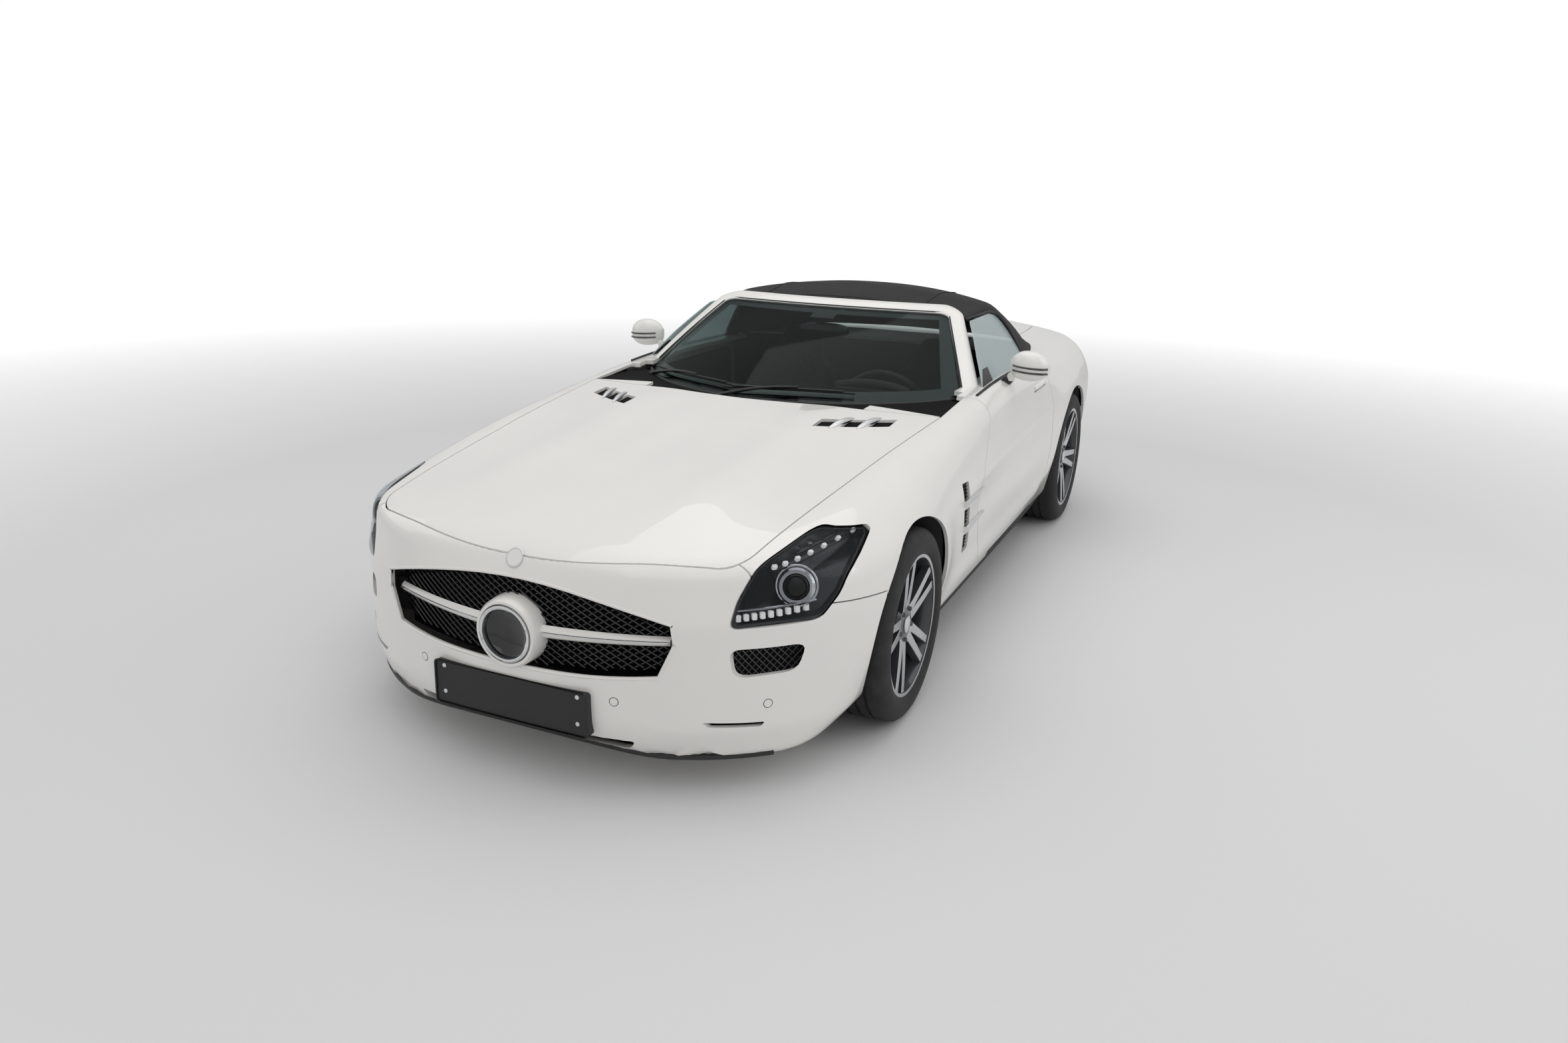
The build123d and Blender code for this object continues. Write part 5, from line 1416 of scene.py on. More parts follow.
def screen_normal(s, t):
    """Outward unit normal of the windscreen."""
    e = 0.01
    n = np.cross(screen_point(min(s + e, 1), t) - screen_point(max(s - e, -1), t),
                 screen_point(s, min(t + e, 1)) - screen_point(s, max(t - e, 0)))
    n /= np.linalg.norm(n)
    return n if n[1] < 0 else -n


def screen_patch(name, s_range, t_range, depth, thickness, body, material, steps=(40, 24)):
    """Plate that follows the windscreen at a depth below its outer face."""
    rows = []
    norms = []
    for t in np.linspace(*t_range, steps[1]):
        for s in np.linspace(*s_range, steps[0]):
            n = screen_normal(s, t)
            rows.append(screen_point(s, t) - n * depth)
            norms.append(n)
    points, faces = solid_of(np.array(rows), grid_faces(steps[1], steps[0]), thickness, np.array(norms))
    return make(name, points, faces, body, material)


class ROADSTER_OT_windscreen(Piece):
    """Windscreen, its painted frame, the black border, the cowl and the wipers"""

    bl_idname = "roadster.windscreen"
    bl_label = "Windscreen"

    def build(self, scene):
        glass = screen_patch("Windscreen", (-1, 1), (0, 1), 0.0, 0.005, "body", "Windscreen glass", (60, 30))
        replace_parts(glass, "windshield")
        for name, s_range, t_range, steps in (
            ("Border low", (-0.985, 0.985), (0.0, 0.12), (60, 4)),
            ("Border high", (-0.985, 0.985), (0.915, 0.998), (40, 3)),
            ("Border left", (0.915, 0.995), (0.0, 1.0), (3, 30)),
            ("Border right", (-0.995, -0.915), (0.0, 1.0), (3, 30)),
            ("Sensor cover", (-0.10, 0.10), (0.86, 0.96), (8, 6))
        ):
            screen_patch(name, s_range, t_range, 0.0056, 0.0012, "body", "Gloss black", steps)
        # painted pillars and header as one swept section
        stations = [(1.0, t) for t in np.linspace(-0.02, 0.93, 24)]
        stations += [
            (0.90 + 0.10 * math.cos(a), 0.93 + 0.07 * math.sin(a))
            for a in np.linspace(0.2, math.pi / 2 - 0.15, 6)
        ]
        sides = len(stations)
        stations += [(s, 1.0) for s in np.linspace(0.89, -0.89, 40)]
        stations += [(-s, t) for s, t in reversed(stations[:sides])]
        rings = []
        for s, t in stations:
            s_in = max(-1.0, min(1.0, s))
            base = screen_point(s_in, min(max(t, 0), 1))
            n = screen_normal(s_in, min(max(t, 0.01), 0.99))
            topness = ramp(np.array(t), 0.90, 1.0) * (1 - ramp(np.array(abs(s)), 0.96, 1.02) * 0.5)
            outward_side = np.array((math.copysign(0.72, s), 0.62, 0.10))
            outward_top = np.array((0, 0.93, 0.36))
            out = outward_side * (1 - topness) + outward_top * topness
            out -= n * (out @ n) * (1 - topness) * 0.6
            out /= np.linalg.norm(out)
            along = np.cross(n, out)
            n2 = np.cross(out, along) if np.cross(out, along) @ n > 0 else -np.cross(out, along)
            n2 /= np.linalg.norm(n2)
            width = 0.094 - 0.028 * min(max(t, 0), 1) + 0.024 * float(topness)
            thick = 0.030
            section = (
                (-0.006, -0.010), (-0.010, 0.003), (0.0, 0.007), (0.3, 0.012), (0.7, 0.009), (1.0, -0.004),
                (0.94, -0.8), (0.4, -1.0), (0.1, -0.7)
            )
            ring = []
            for a, b in section:
                u = a if abs(a) < 0.011 and a != 0.0 else a * width
                v = b if abs(b) < 0.02 else b * thick
                ring.append(base + out * u + n2 * v)
            rings.append(ring)
        rings = np.array(rings)
        count, k = rings.shape[:2]
        faces = grid_faces(count, k, closed=True) + [
            tuple(range(k)), tuple(range(count * k - 1, (count - 1) * k - 1, -1))
        ]
        frame_obj = make(
            "Windscreen frame", rings.reshape(-1, 3), [tuple(reversed(f)) for f in faces], "body",
            "Pearl paint", angle=50
        )
        smooth = frame_obj.modifiers.new("smooth", "SUBSURF")
        smooth.levels = smooth.render_levels = 1
        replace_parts(frame_obj, "windshield_frame")
        seal = [
            screen_point(s, t) + screen_normal(s, t) * 0.0015
            for s, t in [(0.997, q) for q in np.linspace(0, 0.97, 30)] + [
                (q, 0.998) for q in np.linspace(0.96, -0.96, 40)
            ] + [(-0.997, q) for q in np.linspace(0.97, 0, 30)]
        ]
        make("Windscreen seal", *tube(seal, 0.005, 8), "body", "Rubber seal")
        low = [screen_point(s, 0.0) + np.array((0, -0.006, -0.004)) for s in np.linspace(-1, 1, 60)]
        make("Cowl seal", *tube(low, 0.009, 8), "body", "Rubber seal")
        # cowl panel between the bonnet's rear edge and the glass, in near-black: black plastic with painted
        # shade
        front = [(x, -0.690 + 0.112 * (abs(x) / 0.782) ** 2) for x in np.linspace(-0.775, 0.775, 50)]
        back = [tuple(screen_point(s, 0.0)[:2]) for s in np.linspace(-1, 1, 50)]
        points = [
            (x, y - 0.01, 0.868 - 0.030 * abs(x) ** 2) for x, y in front
        ] + [(x, y + 0.01, 0.884) for x, y in back]
        faces = [(i, i + 1, i + 51, i + 50) for i in range(49)]
        points, faces = solid_of(np.array(points), faces, 0.006, np.tile((0, 0, 1.0), (100, 1)))
        make("Cowl panel", points, faces, "body", "Black with painted shade")
        # wipers at rest along the glass's lower edge
        for start, tip in ((-0.88, -0.16), (-0.22, 0.52)):
            blade = []
            for u in np.linspace(0, 1, 26):
                s = start + (tip - start) * u
                t = 0.050 + 0.035 * math.sin(u * 2.4)
                blade.append(screen_point(s, t) + screen_normal(s, t) * 0.011)
            make("Wiper blade", *tube(blade, 0.0045, 8), "body", "Rubber seal")
            spine = [p + np.array((0, -0.004, 0.007)) for p in blade[2:-2]]
            make("Wiper spine", *tube(spine, 0.0040, 8), "body", "Black trim")
            foot = screen_point(start + 0.02, 0.0) + np.array((0, -0.030, 0.004))
            arm = [
                foot + (
                    blade[15] + np.array((0, -0.006, 0.014)) - foot
                ) * u + np.array((0, 0, 0.012)) * math.sin(u * math.pi)
                for u in np.linspace(0, 1, 16)
            ]
            make("Wiper arm", *tube(arm, np.linspace(0.009, 0.0045, 16), 10), "body", "Black trim")
            disc_on(
                "Wiper pivot", foot - np.array((0, 0, 0.012)), np.array((0, 0, 1.0)), 0.015, 0.018, "body",
                "Black trim", segments=24
            )
        # inner mirror under the header
        hub = np.array((0.0, 0.150, 1.085))
        rows = []
        for x in np.linspace(-0.115, 0.115, 13):
            w = 0.034 * (1 - (abs(x) / 0.125) ** 4) ** 0.5
            for a in np.linspace(0, 2 * math.pi, 16, endpoint=False):
                rows.append(hub + np.array((x, 0.016 * math.cos(a), w * math.sin(a))))
        faces = grid_faces(13, 16, closed=True) + [
            tuple(range(16)), tuple(range(13 * 16 - 1, 12 * 16 - 1, -1))
        ]
        make("Inner mirror", rows, faces, "body", "Gloss black")


def glass_x(z):
    """Half width of the side glass at a height."""
    t = (z - 0.890) / 0.310
    return 0.824 + (0.618 - 0.824) * t + 0.014 * 4 * t * (1 - t)


# stations of the mirror head: x, y, half depth, half height, z
MIRROR = np.array(
    [
        (0.866, 0.180, 0.020, 0.026, 0.995), (0.880, 0.177, 0.038, 0.046, 0.998),
        (0.905, 0.171, 0.052, 0.060, 1.000), (0.935, 0.167, 0.058, 0.066, 1.001),
        (0.965, 0.167, 0.057, 0.065, 1.000), (0.990, 0.170, 0.053, 0.060, 0.999),
        (1.012, 0.175, 0.045, 0.049, 0.997), (1.028, 0.180, 0.032, 0.034, 0.995),
        (1.036, 0.183, 0.014, 0.016, 0.993)
    ]
)
# corners of the side window: y, z
SIDE_WINDOW = (
    (-0.090, 0.885), (0.070, 1.030), (0.262, 1.160), (0.620, 1.160), (0.700, 1.150), (0.762, 1.100),
    (0.762, 0.885)
)


class ROADSTER_OT_side_windows(Piece):
    """Side windows and door mirrors"""

    bl_idname = "roadster.side_windows"
    bl_label = "Side windows and mirrors"

    def build(self, scene):
        ys, zs = np.linspace(-0.12, 1.06, 30), np.linspace(0.880, 1.20, 16)
        points = np.array([(glass_x(z), y, z) for y in ys for z in zs])
        normals = np.tile((0.80, 0, 0.60), (len(points), 1))
        solid, faces = solid_of(points, grid_faces(30, 16), 0.004, normals)
        pane = make("Side window left", solid, faces, None, "Side glass")
        carve(pane, (TRIM, *prism(rounded(SIDE_WINDOW, 0.02), "YZ", 0.4, 1.1)))
        soften(pane.data)
        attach(pane, "door_left")
        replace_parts(pane, "side_glass_left")
        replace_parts(other_side(pane, "Side window right", "door_right"), "side_glass_right")
        sail = prism([(-0.092, 0.90), (0.125, 0.90), (0.135, 0.985), (0.06, 0.985)], "YZ", 0.70, 0.90)
        # black corner piece that carries the mirror
        plate = make(
            "Mirror sail left",
            *solid_of(points + np.array((0.0016, 0, 0.001)), grid_faces(30, 16), 0.007, normals), None,
            "Black trim"
        )
        carve(plate, (TRIM, *sail))
        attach(plate, "door_left")
        other_side(plate, "Mirror sail right", "door_right")
        # mirror head: a rounded pod, flattened at the back
        angles = np.linspace(0, 2 * math.pi, 32, endpoint=False)
        pts = []
        for x, y, w, h, z in MIRROR:
            for a in angles:
                c, s = math.cos(a), math.sin(a)
                dy = w * math.copysign(abs(c) ** 0.72, c)
                if dy > 0:
                    dy *= 0.45
                pts.append((x, y + dy, z + h * math.copysign(abs(s) ** 0.80, s)))
        n = len(MIRROR)
        faces = grid_faces(n, 32, closed=True) + [
            tuple(range(32)), tuple(range(n * 32 - 1, (n - 1) * 32 - 1, -1))
        ]
        pod, twin = both_sides(
            "Mirror pod", pts, [tuple(reversed(f)) for f in faces], DOORS, "Pearl paint", angle=60
        )
        for p in (pod, twin):
            smooth = p.modifiers.new("smooth", "SUBSURF")
            smooth.levels = smooth.render_levels = 1
        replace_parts(pod, "mirror_left")
        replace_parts(twin, "mirror_right")
        for dz in (-0.010, 0.010):
            line = []
            for x in np.linspace(0.885, 1.030, 22):
                y = np.interp(
                    x, MIRROR[:, 0], MIRROR[:, 1]
                ) - np.interp(x, MIRROR[:, 0], MIRROR[:, 2]) * 0.995
                line.append((x, y, 0.992 + dz - (x - 0.885) * 0.06))
            both_sides("Mirror slot", *tube(line, np.linspace(0.0035, 0.0050, 22), 8), DOORS, "Gloss black")
        line = [(0.870, 0.176, 0.935), (0.874, 0.172, 0.950), (0.886, 0.168, 0.962), (0.905, 0.166, 0.968)]
        both_sides("Mirror foot", *tube(line, [0.020, 0.017, 0.018, 0.014], 14), DOORS, "Pearl paint")
        foot = [(0.845, 0.178, 0.905), (0.855, 0.178, 0.925), (0.872, 0.176, 0.940)]
        both_sides("Mirror base", *tube(foot, [0.028, 0.022, 0.019], 14), DOORS, "Black trim")


# stations of the soft top: y, side's foot x and z, roof edge x and z, crown z
ROOF = np.array(
    [
        (0.318, 0.620, 1.140, 0.610, 1.168, 1.214), (0.440, 0.640, 1.150, 0.622, 1.180, 1.238),
        (0.632, 0.660, 1.150, 0.630, 1.192, 1.262), (0.720, 0.812, 0.905, 0.624, 1.190, 1.260),
        (0.850, 0.815, 0.905, 0.606, 1.174, 1.250), (0.980, 0.792, 0.905, 0.600, 1.135, 1.206),
        (1.100, 0.765, 0.905, 0.590, 1.080, 1.148), (1.280, 0.735, 0.905, 0.573, 1.008, 1.058),
        (1.440, 0.706, 0.905, 0.560, 0.944, 0.962)
    ]
)
# lower edge of the soft top's side: y, z
ROOF_FOOT = np.array(
    [(0.30, 1.160), (0.60, 1.166), (0.68, 1.150), (0.72, 1.110), (0.74, 1.020), (0.75, 0.900), (1.50, 0.900)]
)


def roof_point(y, u):
    """Soft top's outer face: u from 0 at the lower edge to 1 on the middle line."""
    base_x, base_z, edge_x, edge_z, crown = (np.interp(y, ROOF[:, 0], ROOF[:, k]) for k in range(1, 6))
    low = float(np.interp(y, ROOF_FOOT[:, 0], ROOF_FOOT[:, 1]))
    low = min(low, edge_z - 0.012)
    f = np.clip((low - base_z) / max(edge_z - base_z, 1e-4), 0, 1)
    low_x = base_x + (edge_x - base_x) * f
    # bows hold the cloth up, and it sinks a little between them
    sink = 0.004 * abs(math.sin(math.pi * (y - 0.318) / 0.262)) if y < 1.104 else 0.002
    if u < 0.22:
        t = u / 0.22
        x, z = low_x + (edge_x - low_x) * t, low + (edge_z - low) * t
        f = np.clip((z - base_z) / (edge_z - base_z), 0, 1)
        x += 0.030 * 4 * f * (1 - f) * ramp(np.array(y), 0.64, 0.72)
    else:
        t = (u - 0.22) / 0.78
        x = edge_x * (1 - t)
        z = edge_z + (crown - edge_z) * (1 - (1 - t) ** 2.3) - sink * math.sin(math.pi * t) * 0.8
    return np.array((x, y, z))


class ROADSTER_OT_soft_top(Piece):
    """Fabric top in its closed shape, with seams, side seals and the rear window"""

    bl_idname = "roadster.soft_top"
    bl_label = "Soft top"

    def build(self, scene):
        ys = np.linspace(0.318, 1.440, 90)
        us = np.concatenate([np.linspace(0, 0.22, 9)[:-1], np.linspace(0.22, 1.0, 44)])
        half = np.array([[roof_point(y, u) for u in us] for y in ys])
        for _ in range(3):
            inner = half[:, 1:-1].copy()
            half[:, 1:-1] = inner * 0.5 + (half[:, :-2] + half[:, 2:]) * 0.25
            rows = half[1:-1].copy()
            half[1:-1] = rows * 0.5 + (half[:-2] + half[2:]) * 0.25
        full = np.concatenate([half, (half * (-1, 1, 1))[:, ::-1][:, 1:]], 1)
        normals = np.cross(np.gradient(full, axis=0), np.gradient(full, axis=1))
        normals /= np.linalg.norm(normals, axis=2, keepdims=True)
        if normals[45, len(us)][2] < 0:
            normals = -normals
        points, faces = solid_of(
            full.reshape(-1, 3), grid_faces(*full.shape[:2]), 0.009, normals.reshape(-1, 3)
        )
        top = make("Soft top", points, faces, None, "Top fabric", angle=60)
        window = rounded([(-0.470, 0.985), (0.470, 0.985), (0.505, 1.245), (-0.505, 1.245)], 0.06)
        carve(top, (CUT, *prism(window, "XY", 0.8, 1.4)))
        soften(top.data, angle=60)
        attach(top, "body")
        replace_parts(top, "soft_top")

        def on_top(x, y, lift):
            row = half[int(np.argmin(abs(ys - y)))]
            k = int(np.argmin(abs(row[:, 0] - abs(x)) + (row[:, 2] < row[8, 2] - 0.02) * 9))
            p = row[k].copy()
            p[0] = x
            p[2] = np.interp(-abs(x), -row[8:, 0], row[8:, 2]) + lift
            p[1] = y
            return p

        for sign in (1, -1):
            line = [
                on_top(sign * (0.395 + 0.03 * (y - 0.33)), y, 0.0012) for y in np.linspace(0.325, 0.955, 50)
            ]
            make("Top seam", *tube(line, 0.0022, 6), "body", "Top fabric")
            edge = [half[i][0] * (sign, 1, 1) for i in range(0, 64)]
            make("Top side seal", *tube(edge, 0.008, 8), "body", "Rubber seal")
        for y in (0.345, 0.955):
            line = [on_top(x, y, 0.0012) for x in np.linspace(-0.585, 0.585, 50)]
            make("Top cross seam", *tube(line, 0.0024, 6), "body", "Top fabric")
        hem = [on_top(x, 0.320, 0.001) for x in np.linspace(-0.60, 0.60, 50)]
        make("Top front hem", *tube(hem, 0.006, 8), "body", "Rubber seal")
        # rear window, set into the cloth
        cols = np.linspace(-0.52, 0.52, 34)
        rows = np.linspace(0.965, 1.265, 14)
        sheet = np.array([on_top(x, y, -0.0105) for y in rows for x in cols])
        solid, faces = solid_of(sheet, grid_faces(14, 34), 0.004, np.tile((0, 0.5, 0.86), (len(sheet), 1)))
        pane = make("Rear window", solid, faces, "body", "Side glass")
        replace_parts(pane, "rear_window")


def padded_loft(name, rings, body, material):
    """Closed cushion from rings of points."""
    rings = np.array(rings)
    count, k = rings.shape[:2]
    faces = grid_faces(count, k, closed=True) + [
        tuple(range(k)), tuple(range(count * k - 1, (count - 1) * k - 1, -1))
    ]
    obj = make(name, rings.reshape(-1, 3), faces, None, material, angle=60)
    work = bmesh.new()
    work.from_mesh(obj.data)
    bmesh.ops.recalc_face_normals(work, faces=work.faces)
    work.to_mesh(obj.data)
    work.free()
    soften(obj.data, angle=60)
    smooth = obj.modifiers.new("smooth", "SUBSURF")
    smooth.levels = smooth.render_levels = 1
    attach(obj, body)
    return obj


SEAT_X = 0.375
# hub of the steering wheel and the direction of its column
STEERING_HUB = np.array((0.375, -0.020, 0.790))
COLUMN_TILT = np.array((0, 0.913545, 0.406737))
VENT_XS = (-0.60, -0.09, 0.09, 0.60)
DIAL_XS = (0.315, 0.435)


class ROADSTER_OT_cabin(Piece):
    """Seats, dashboard trim and steering wheel trim"""

    bl_idname = "roadster.cabin"
    bl_label = "Cabin"

    def build(self, scene):
        angles = np.linspace(0, 2 * math.pi, 48, endpoint=False)
        for side, sx in (("left", SEAT_X), ("right", -SEAT_X)):
            rings = []
            for y in np.linspace(0.03, 0.50, 26):
                end = min(1, ((y - 0.02) / 0.05) ** 0.5) * min(1, ((0.515 - y) / 0.04) ** 0.5)
                ring = []
                for a in angles:
                    c, s = math.cos(a), math.sin(a)
                    dx = 0.252 * (0.90 + 0.10 * end) * math.copysign(abs(c) ** 0.55, c)
                    dz = (0.085 if s > 0 else 0.10) * end * math.copysign(abs(s) ** 0.6, s)
                    lift = 0.050 * ramp(np.array(abs(dx)), 0.15, 0.235) if s > 0 else 0.0
                    channel = 0.006 * abs(
                        math.sin(math.pi * (y - 0.03) / 0.066)
                    ) if s > 0 and abs(dx) < 0.155 else 0.0
                    ring.append((sx + dx, y, 0.285 + dz + float(lift) + channel))
                rings.append(ring)
            cushion = padded_loft(f"Seat cushion {side}", rings, "body", "Seat leather")
            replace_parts(cushion, f"seat_{side}")
            rings = []
            for z in np.linspace(0.34, 0.995, 34):
                back_y = np.interp(z, (0.23, 0.64, 0.86, 0.985), (0.500, 0.640, 0.752, 0.812))
                half_w = np.interp(
                    z, (0.34, 0.42, 0.70, 0.82, 0.86, 0.93, 0.995),
                    (0.235, 0.262, 0.258, 0.205, 0.135, 0.122, 0.085)
                )
                deep = np.interp(
                    z, (0.34, 0.45, 0.80, 0.88, 0.97, 0.995), (0.055, 0.075, 0.060, 0.050, 0.046, 0.022)
                )
                ring = []
                for a in angles:
                    c, s = math.cos(a), math.sin(a)
                    dx = half_w * math.copysign(abs(c) ** 0.6, c)
                    dy = deep * math.copysign(abs(s) ** 0.7, s)
                    front = s < 0
                    bolster = 0.045 * float(
                        ramp(np.array(abs(dx)), 0.13, 0.225)
                    ) if front and z < 0.82 else 0.0
                    channel = 0.006 * abs(
                        math.sin(math.pi * (z - 0.34) / 0.072)
                    ) if front and abs(dx) < 0.14 and z < 0.80 else 0.0
                    ring.append((sx + dx, back_y + dy - bolster - channel, z))
                rings.append(ring)
            back = padded_loft(f"Seat back {side}", rings, "body", "Seat leather")
            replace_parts(back, f"seat_{side}")
            for dx in (-0.20, 0.20):
                rail = box_solid((sx + dx - 0.018, sx + dx + 0.018), (0.06, 0.47), (0.160, 0.215))
                make("Seat runner", *rail, "body", "Black trim")
        # air vents and screens on the dashboard's face
        aim = np.array((0, 0.96, 0.28))
        for x in VENT_XS:
            at = np.array((x, -0.206, 0.795))
            disc_on("Air vent ring", at, aim, 0.042, 0.012, "body", "Chrome", 0.034)
            # near-black vent face: painted shade inside the vent
            disc_on("Air vent", at, aim, 0.034, 0.005, "body", "Black with painted shade")
        for x in DIAL_XS:
            at = np.array((x, -0.181, 0.886))
            disc_on("Dial ring", at, np.array((0, 1.0, 0)), 0.044, 0.006, "body", "Chrome", 0.039)
            disc_on("Dial", at, np.array((0, 1.0, 0)), 0.039, 0.003, "body", "Gloss black")
        hood = []
        for x in np.linspace(-0.16, 0.16, 24):
            hood.append((0.375 + x, -0.225, 0.925 - 0.9 * x * x + 0.004))
        make("Dial hood", *tube(hood, 0.020, 12), "body", "Seat leather")
        centre, tilt = STEERING_HUB, COLUMN_TILT
        disc_on(
            "Airbag ring", centre + tilt * 0.008, tilt, 0.060, 0.010, "steering_wheel", "Silver fin", 0.052
        )
        disc_on("Airbag cover", centre + tilt * 0.008, tilt, 0.052, 0.018, "steering_wheel", "Cabin plastic")
        lever = [(0, 0.06, 0.46), (0, 0.055, 0.50), (0, 0.045, 0.535)]
        make("Gear lever", *tube(lever, [0.012, 0.014, 0.022], 14), "body", "Silver fin")


# wheels: end, axle's y, middle plane's x, tyre radius and width, rim radius and width, and the turn of the
# first spoke in degrees
WHEELS = (
    ("front", FRONT_AXLE, 0.828, FRONT_R, 0.265, 0.2413, 0.246, 12),
    ("rear", REAR_AXLE, 0.815, REAR_R, 0.295, 0.254, 0.280, 40),
)
BOLTS = 5
BOLT_CIRCLE = 0.056


class ROADSTER_OT_wheels(Piece):
    """Tyres and twin-spoke rims"""

    bl_idname = "roadster.wheels"
    bl_label = "Wheels"

    def build(self, scene):
        settings = scene.roadster_wheel
        for end, axle, centre_x, wheel_z, tyre_w, rim_r, rim_w, first in WHEELS:
            centre = np.array((centre_x, axle, wheel_z))
            half, top = tyre_w / 2, wheel_z
            bead = rim_r + 0.003
            outer = [
                (half - 0.012, bead), (half - 0.004, bead + 0.012), (half, bead + 0.030),
                (half + 0.0005, top - 0.050), (half - 0.004, top - 0.030), (half - 0.013, top - 0.014),
                (half - 0.026, top - 0.004), (half - 0.045, top - 0.0008)
            ]
            tread = []
            for groove in (0.062, 0.022):
                tread += [
                    (groove + 0.006, top - 0.0002), (groove + 0.004, top - 0.008),
                    (groove - 0.004, top - 0.008), (groove - 0.006, top - 0.0002)
                ]
            right = outer + tread
            profile = right + [(-a, b) for a, b in reversed(right)] + [
                (-half + 0.03, bead - 0.001), (half - 0.03, bead - 0.001)
            ]
            tyre = make(
                f"Tyre {end} left", *lathe(profile, centre, 160, "X"), f"wheel_{end}_left", "Tyre rubber"
            )
            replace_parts(tyre, f"tyre_{end}_left")
            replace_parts(other_side(tyre, f"Tyre {end} right", f"wheel_{end}_right"), f"tyre_{end}_right")
            pieces = []
            face = rim_w / 2 - 0.004
            barrel = [
                (face, rim_r + 0.010), (face - 0.006, rim_r + 0.012), (face - 0.012, rim_r + 0.002),
                (face - 0.040, rim_r - 0.010), (-face + 0.02, rim_r - 0.012), (-face, rim_r + 0.010),
                (-face, rim_r), (-face + 0.02, rim_r - 0.020), (face - 0.045, rim_r - 0.020),
                (face - 0.016, rim_r - 0.012), (face - 0.002, rim_r - 0.008)
            ]
            pieces.append((lathe(barrel, centre, 120, "X"), "Pocket paint"))
            lip = [
                (face + 0.0005, rim_r - 0.008), (face + 0.0020, rim_r), (face + 0.0015, rim_r + 0.009),
                (face - 0.004, rim_r + 0.0115), (face - 0.004, rim_r - 0.006)
            ]
            pieces.append((lathe(lip, centre, 120, "X"), "Machined face"))
            hub_x = face - 0.030
            hub = [
                (hub_x + 0.010, 0.0005), (hub_x + 0.010, 0.030), (hub_x + 0.006, 0.036),
                (hub_x + 0.004, 0.070), (hub_x - 0.008, 0.082), (hub_x - 0.05, 0.086), (hub_x - 0.05, 0.0005)
            ]
            pieces.append((lathe(hub, centre, 72, "X"), "Pocket paint"))
            cap = [
                (hub_x + 0.016, 0.0005), (hub_x + 0.0155, 0.020), (hub_x + 0.012, 0.029),
                (hub_x + 0.008, 0.030), (hub_x + 0.008, 0.0005)
            ]
            pieces.append((lathe(cap, centre, 48, "X"), "Silver fin"))
            for i in range(settings.spokes):
                turn = math.radians(90 + i * 360 / settings.spokes + first)
                for hand in (1, -1):
                    body_pts, face_pts = [], []
                    for r in np.linspace(0.052, rim_r - 0.006, 20):
                        q = (r - 0.052) / (rim_r - 0.058)
                        off = hand * (0.0155 + 0.0235 * q)
                        wide = 0.0185 - 0.0050 * q + 0.010 * max(0, q - 0.8) + 0.010 * max(0, 0.2 - q)
                        high = hub_x + 0.004 + (face - hub_x - 0.006) * q**0.75
                        low = high - (0.034 - 0.008 * q)
                        radial = np.array((0, math.cos(turn), math.sin(turn)))
                        across = np.array((0, -math.sin(turn), math.cos(turn)))
                        mid = centre + radial * r + across * off
                        body_pts.append(
                            [
                                mid + across * (wide * a) + np.array((h, 0, 0))
                                for a, h in (
                                    (-0.95, high - 0.0015), (0.95, high - 0.0015), (1.10, low), (-1.10, low)
                                )
                            ]
                        )
                        face_pts.append(
                            [
                                mid + across * (wide * a) + np.array((h, 0, 0))
                                for a, h in (
                                    (-0.86, high), (0.86, high), (0.93, high - 0.0022), (-0.93, high - 0.0022)
                                )
                            ]
                        )
                    for rings, material in ((body_pts, "Pocket paint"), (face_pts, "Machined face")):
                        rings = np.array(rings)
                        n = len(rings)
                        faces = grid_faces(n, 4, closed=True) + [
                            (0, 1, 2, 3), (4 * n - 1, 4 * n - 2, 4 * n - 3, 4 * n - 4)
                        ]
                        pieces.append(((rings.reshape(-1, 3), faces), material))
            for i in range(BOLTS):
                a = math.radians(54 + 360 / BOLTS * i)
                at = centre + np.array((hub_x + 0.002, BOLT_CIRCLE * math.cos(a), BOLT_CIRCLE * math.sin(a)))
                bolt = [(0.010, 0.0005), (0.010, 0.007), (0.000, 0.0085), (-0.004, 0.0085), (-0.004, 0.0005)]
                pieces.append((lathe(bolt, at, 12, "X"), "Cast metal"))
            merged = {}
            for (points, faces), material in pieces:
                pts, all_faces = merged.setdefault(material, ([], []))
                all_faces += [tuple(j + len(pts) for j in f) for f in faces]
                pts += [tuple(p) for p in np.array(points)]
            for material, (points, faces) in merged.items():
                rim = make(f"Rim {material} {end} left", points, faces, None, material, angle=30)
                work = bmesh.new()
                work.from_mesh(rim.data)
                bmesh.ops.recalc_face_normals(work, faces=work.faces)
                work.to_mesh(rim.data)
                work.free()
                soften(rim.data, angle=30)
                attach(rim, f"wheel_{end}_left")
                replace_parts(rim, f"rim_{end}_left")
                twin = other_side(rim, f"Rim {material} {end} right", f"wheel_{end}_right")
                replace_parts(twin, f"rim_{end}_right")


class ROADSTER_OT_rest(Piece):
    """Finishes of the plain frame pieces, floor, axles, engine and exhaust"""

    bl_idname = "roadster.rest"
    bl_label = "Frame finishes"

    def build(self, scene):
        for node, look in FINISHES.items():
            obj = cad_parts[node]
            obj.data.materials.clear()
            obj.data.materials.append(LOOKS[look])


# the cowl's near-black finish is black plastic with painted shade
FINISHES = {
    "front_frame": "Frame primer", "firewall": "Frame primer", "cowl": "Black with painted shade",
    "hinge_pillar_left": "Frame primer", "hinge_pillar_right": "Frame primer", "rear_frame": "Frame primer",
    "underbody": "Underbody", "engine": "Cast metal", "exhaust": "Exhaust steel", "front_axle": "Caliper",
    "rear_axle": "Cast metal", "knuckle_left": "Cast metal", "knuckle_right": "Cast metal",
    "dashboard": "Cabin plastic", "steering_wheel": "Seat leather", "disc_front_left": "Brake disc",
    "disc_front_right": "Brake disc", "disc_rear_left": "Brake disc", "disc_rear_right": "Brake disc"
}


